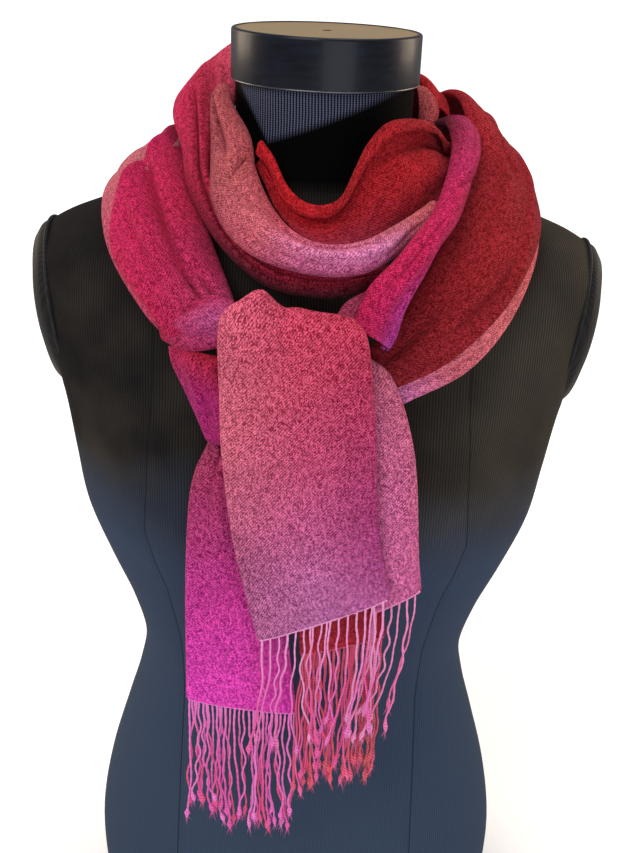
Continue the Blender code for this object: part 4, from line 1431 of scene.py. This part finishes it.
def build_cap(enamel, plate, rim):
    """The neck's cap, with its plate sunk into its top, and the thin rim under it."""
    start_fresh()
    bpy.ops.mesh.primitive_cylinder_add(
        vertices=128,
        radius=CAP_RADIUS * MM,
        depth=CAP_HEIGHT * MM,
        location=(0, 0, (NECK_TOP + NODE_GAP + CAP_HEIGHT / 2) * MM),
    )
    cap = bpy.context.object
    bevel(cap, CAP_EDGE, 4)
    bpy.ops.object.mode_set(mode="EDIT")
    bpy.ops.mesh.select_mode(type="FACE")
    bpy.ops.mesh.select_all(action="DESELECT")
    bpy.ops.object.mode_set(mode="OBJECT")
    top = max(cap.data.polygons, key=lambda f: f.center.z)
    top.select = True
    bpy.ops.object.mode_set(mode="EDIT")
    for inward, down in ((CAP_LIP, CAP_STEP), (CAP_DISH_IN, CAP_DISH_DEEP)):
        bpy.ops.mesh.inset(thickness=inward * MM)
        bpy.ops.mesh.extrude_region_move(TRANSFORM_OT_translate={"value": (0, 0, -down * MM)})
    bpy.ops.object.mode_set(mode="OBJECT")
    bpy.ops.object.shade_smooth_by_angle(angle=math.radians(35))
    finish_piece("cap", enamel, "neck_cap")
    cap.data.materials.append(plate)
    for face in cap.data.polygons:
        flat_top = face.normal.z > 0.9 and face.center.z > (NECK_TOP + CAP_HEIGHT - 1.5) * MM
        inside = math.hypot(*face.center[:2]) < (CAP_RADIUS - 2.6) * MM
        if flat_top and (inside or len(face.vertices) > 8):
            face.material_index = 1
    start_fresh()
    bpy.ops.mesh.primitive_torus_add(
        major_segments=128,
        minor_segments=12,
        major_radius=(CAP_RADIUS - 0.4) * MM,
        minor_radius=0.6 * MM,
        location=(0, 0, (NECK_TOP + 1.0) * MM),
    )
    bpy.ops.object.shade_smooth()
    finish_piece("cap_rim", rim, None)


def build_stage():
    start_fresh()
    bpy.ops.mesh.primitive_plane_add(size=60.0, location=(0, 0, -0.0005))
    floor = bpy.context.object
    floor.name = "floor"
    made, n, shader = new_material("floor_paint")
    settings(shader, Roughness=0.9)
    where = n.add("ShaderNodeTexCoord").outputs["Object"]
    tone = n.mix(n.noise(where, 3.0), (0.86, 0.86, 0.86, 1.0), (0.9, 0.9, 0.9, 1.0))
    n.feed(shader.inputs["Base Color"], tone)
    away = n.add("ShaderNodeVectorMath", operation="LENGTH")
    n.feed(away.inputs[0], where)
    glow = n.ramp(away.outputs["Value"], 0.3, 2.5, 0.3, 0.97)
    seen = n.add("ShaderNodeLightPath").outputs["Is Camera Ray"]
    shader.inputs["Emission Color"].default_value = (1.0, 1.0, 1.0, 1.0)
    n.feed(shader.inputs["Emission Strength"], n.math("MULTIPLY", glow, seen))
    floor.data.materials.append(made)


# Lights: name, place, aimed at, size, power, colour
LIGHTS = (
    ("key", (-0.9, -1.5, 2.1), (0, 0, 0.5), 1.2, 24, (1.0, 0.96, 0.92)),
    ("fill", (0.5, -1.7, 0.5), (0, 0, 0.3), 1.2, 9, (0.92, 0.94, 1.0)),
    ("top", (0.1, 0.3, 2.2), (0, 0, 0.5), 1.2, 12, (1.0, 0.94, 0.86)),
    ("left_edge", (-1.2, 0.5, 0.9), (0, 0, 0.6), 0.7, 9, (1.0, 0.8, 0.6)),
    ("right_edge", (1.2, 0.5, 0.9), (0, 0, 0.6), 0.7, 9, (1.0, 0.8, 0.6)),
)


def build_lights():
    for name, place, aim, size, power, colour in LIGHTS:
        lamp = bpy.data.lights.new(name, "AREA")
        lamp.size = size
        lamp.energy = power
        lamp.color = colour
        holder = bpy.data.objects.new(name, lamp)
        bpy.context.scene.collection.objects.link(holder)
        holder.location = place
        holder.rotation_euler = (Vector(aim) - Vector(place)).to_track_quat("-Z", "Y").to_euler()
    world = bpy.data.worlds.new("studio")
    bpy.context.scene.world = world
    world.use_nodes = True
    world.node_tree.nodes.clear()
    n = Nodes(world.node_tree)
    soft = n.add("ShaderNodeBackground")
    soft.inputs["Color"].default_value = (0.9, 0.93, 1.0, 1.0)
    soft.inputs["Strength"].default_value = 0.3
    seen = n.add("ShaderNodeBackground")
    seen.inputs["Strength"].default_value = 1.0
    choose = n.add("ShaderNodeMixShader")
    n.feed(choose.inputs[0], n.add("ShaderNodeLightPath").outputs["Is Camera Ray"])
    n.feed(choose.inputs[1], soft.outputs[0])
    n.feed(choose.inputs[2], seen.outputs[0])
    out = n.add("ShaderNodeOutputWorld")
    n.feed(out.inputs["Surface"], choose.outputs[0])
    view = bpy.context.scene.view_settings
    view.view_transform = "Standard"
    view.look = "None"
    view.exposure = 0.0
    view.gamma = 1.0


place_camera()
weave = woven_cloth_group()
knit = knit_group()
wrap_cloth = cloth_material("scarf_cloth", weave, WRAP_THREADS, 0.75, 0.05, 0.7)
tail_cloth = cloth_material("scarf_tail_cloth", weave, TAIL_THREADS, 0.82, 0.17, 0.7)
yarn = yarn_material("fringe_yarn")
jersey = jersey_material(knit)
arm_jersey = arm_material(knit)

build_torso(jersey)
build_arm(-1, "left", arm_jersey)
build_arm(1, "right", arm_jersey)
build_cap(enamel_material(), plate_material(), rim_material())
sheets = build_scarf(wrap_cloth, tail_cloth)
hung = {cloth: yarns(yarn, *fringe) for cloth, fringe in FRINGES.items()}
build_stage()
build_lights()
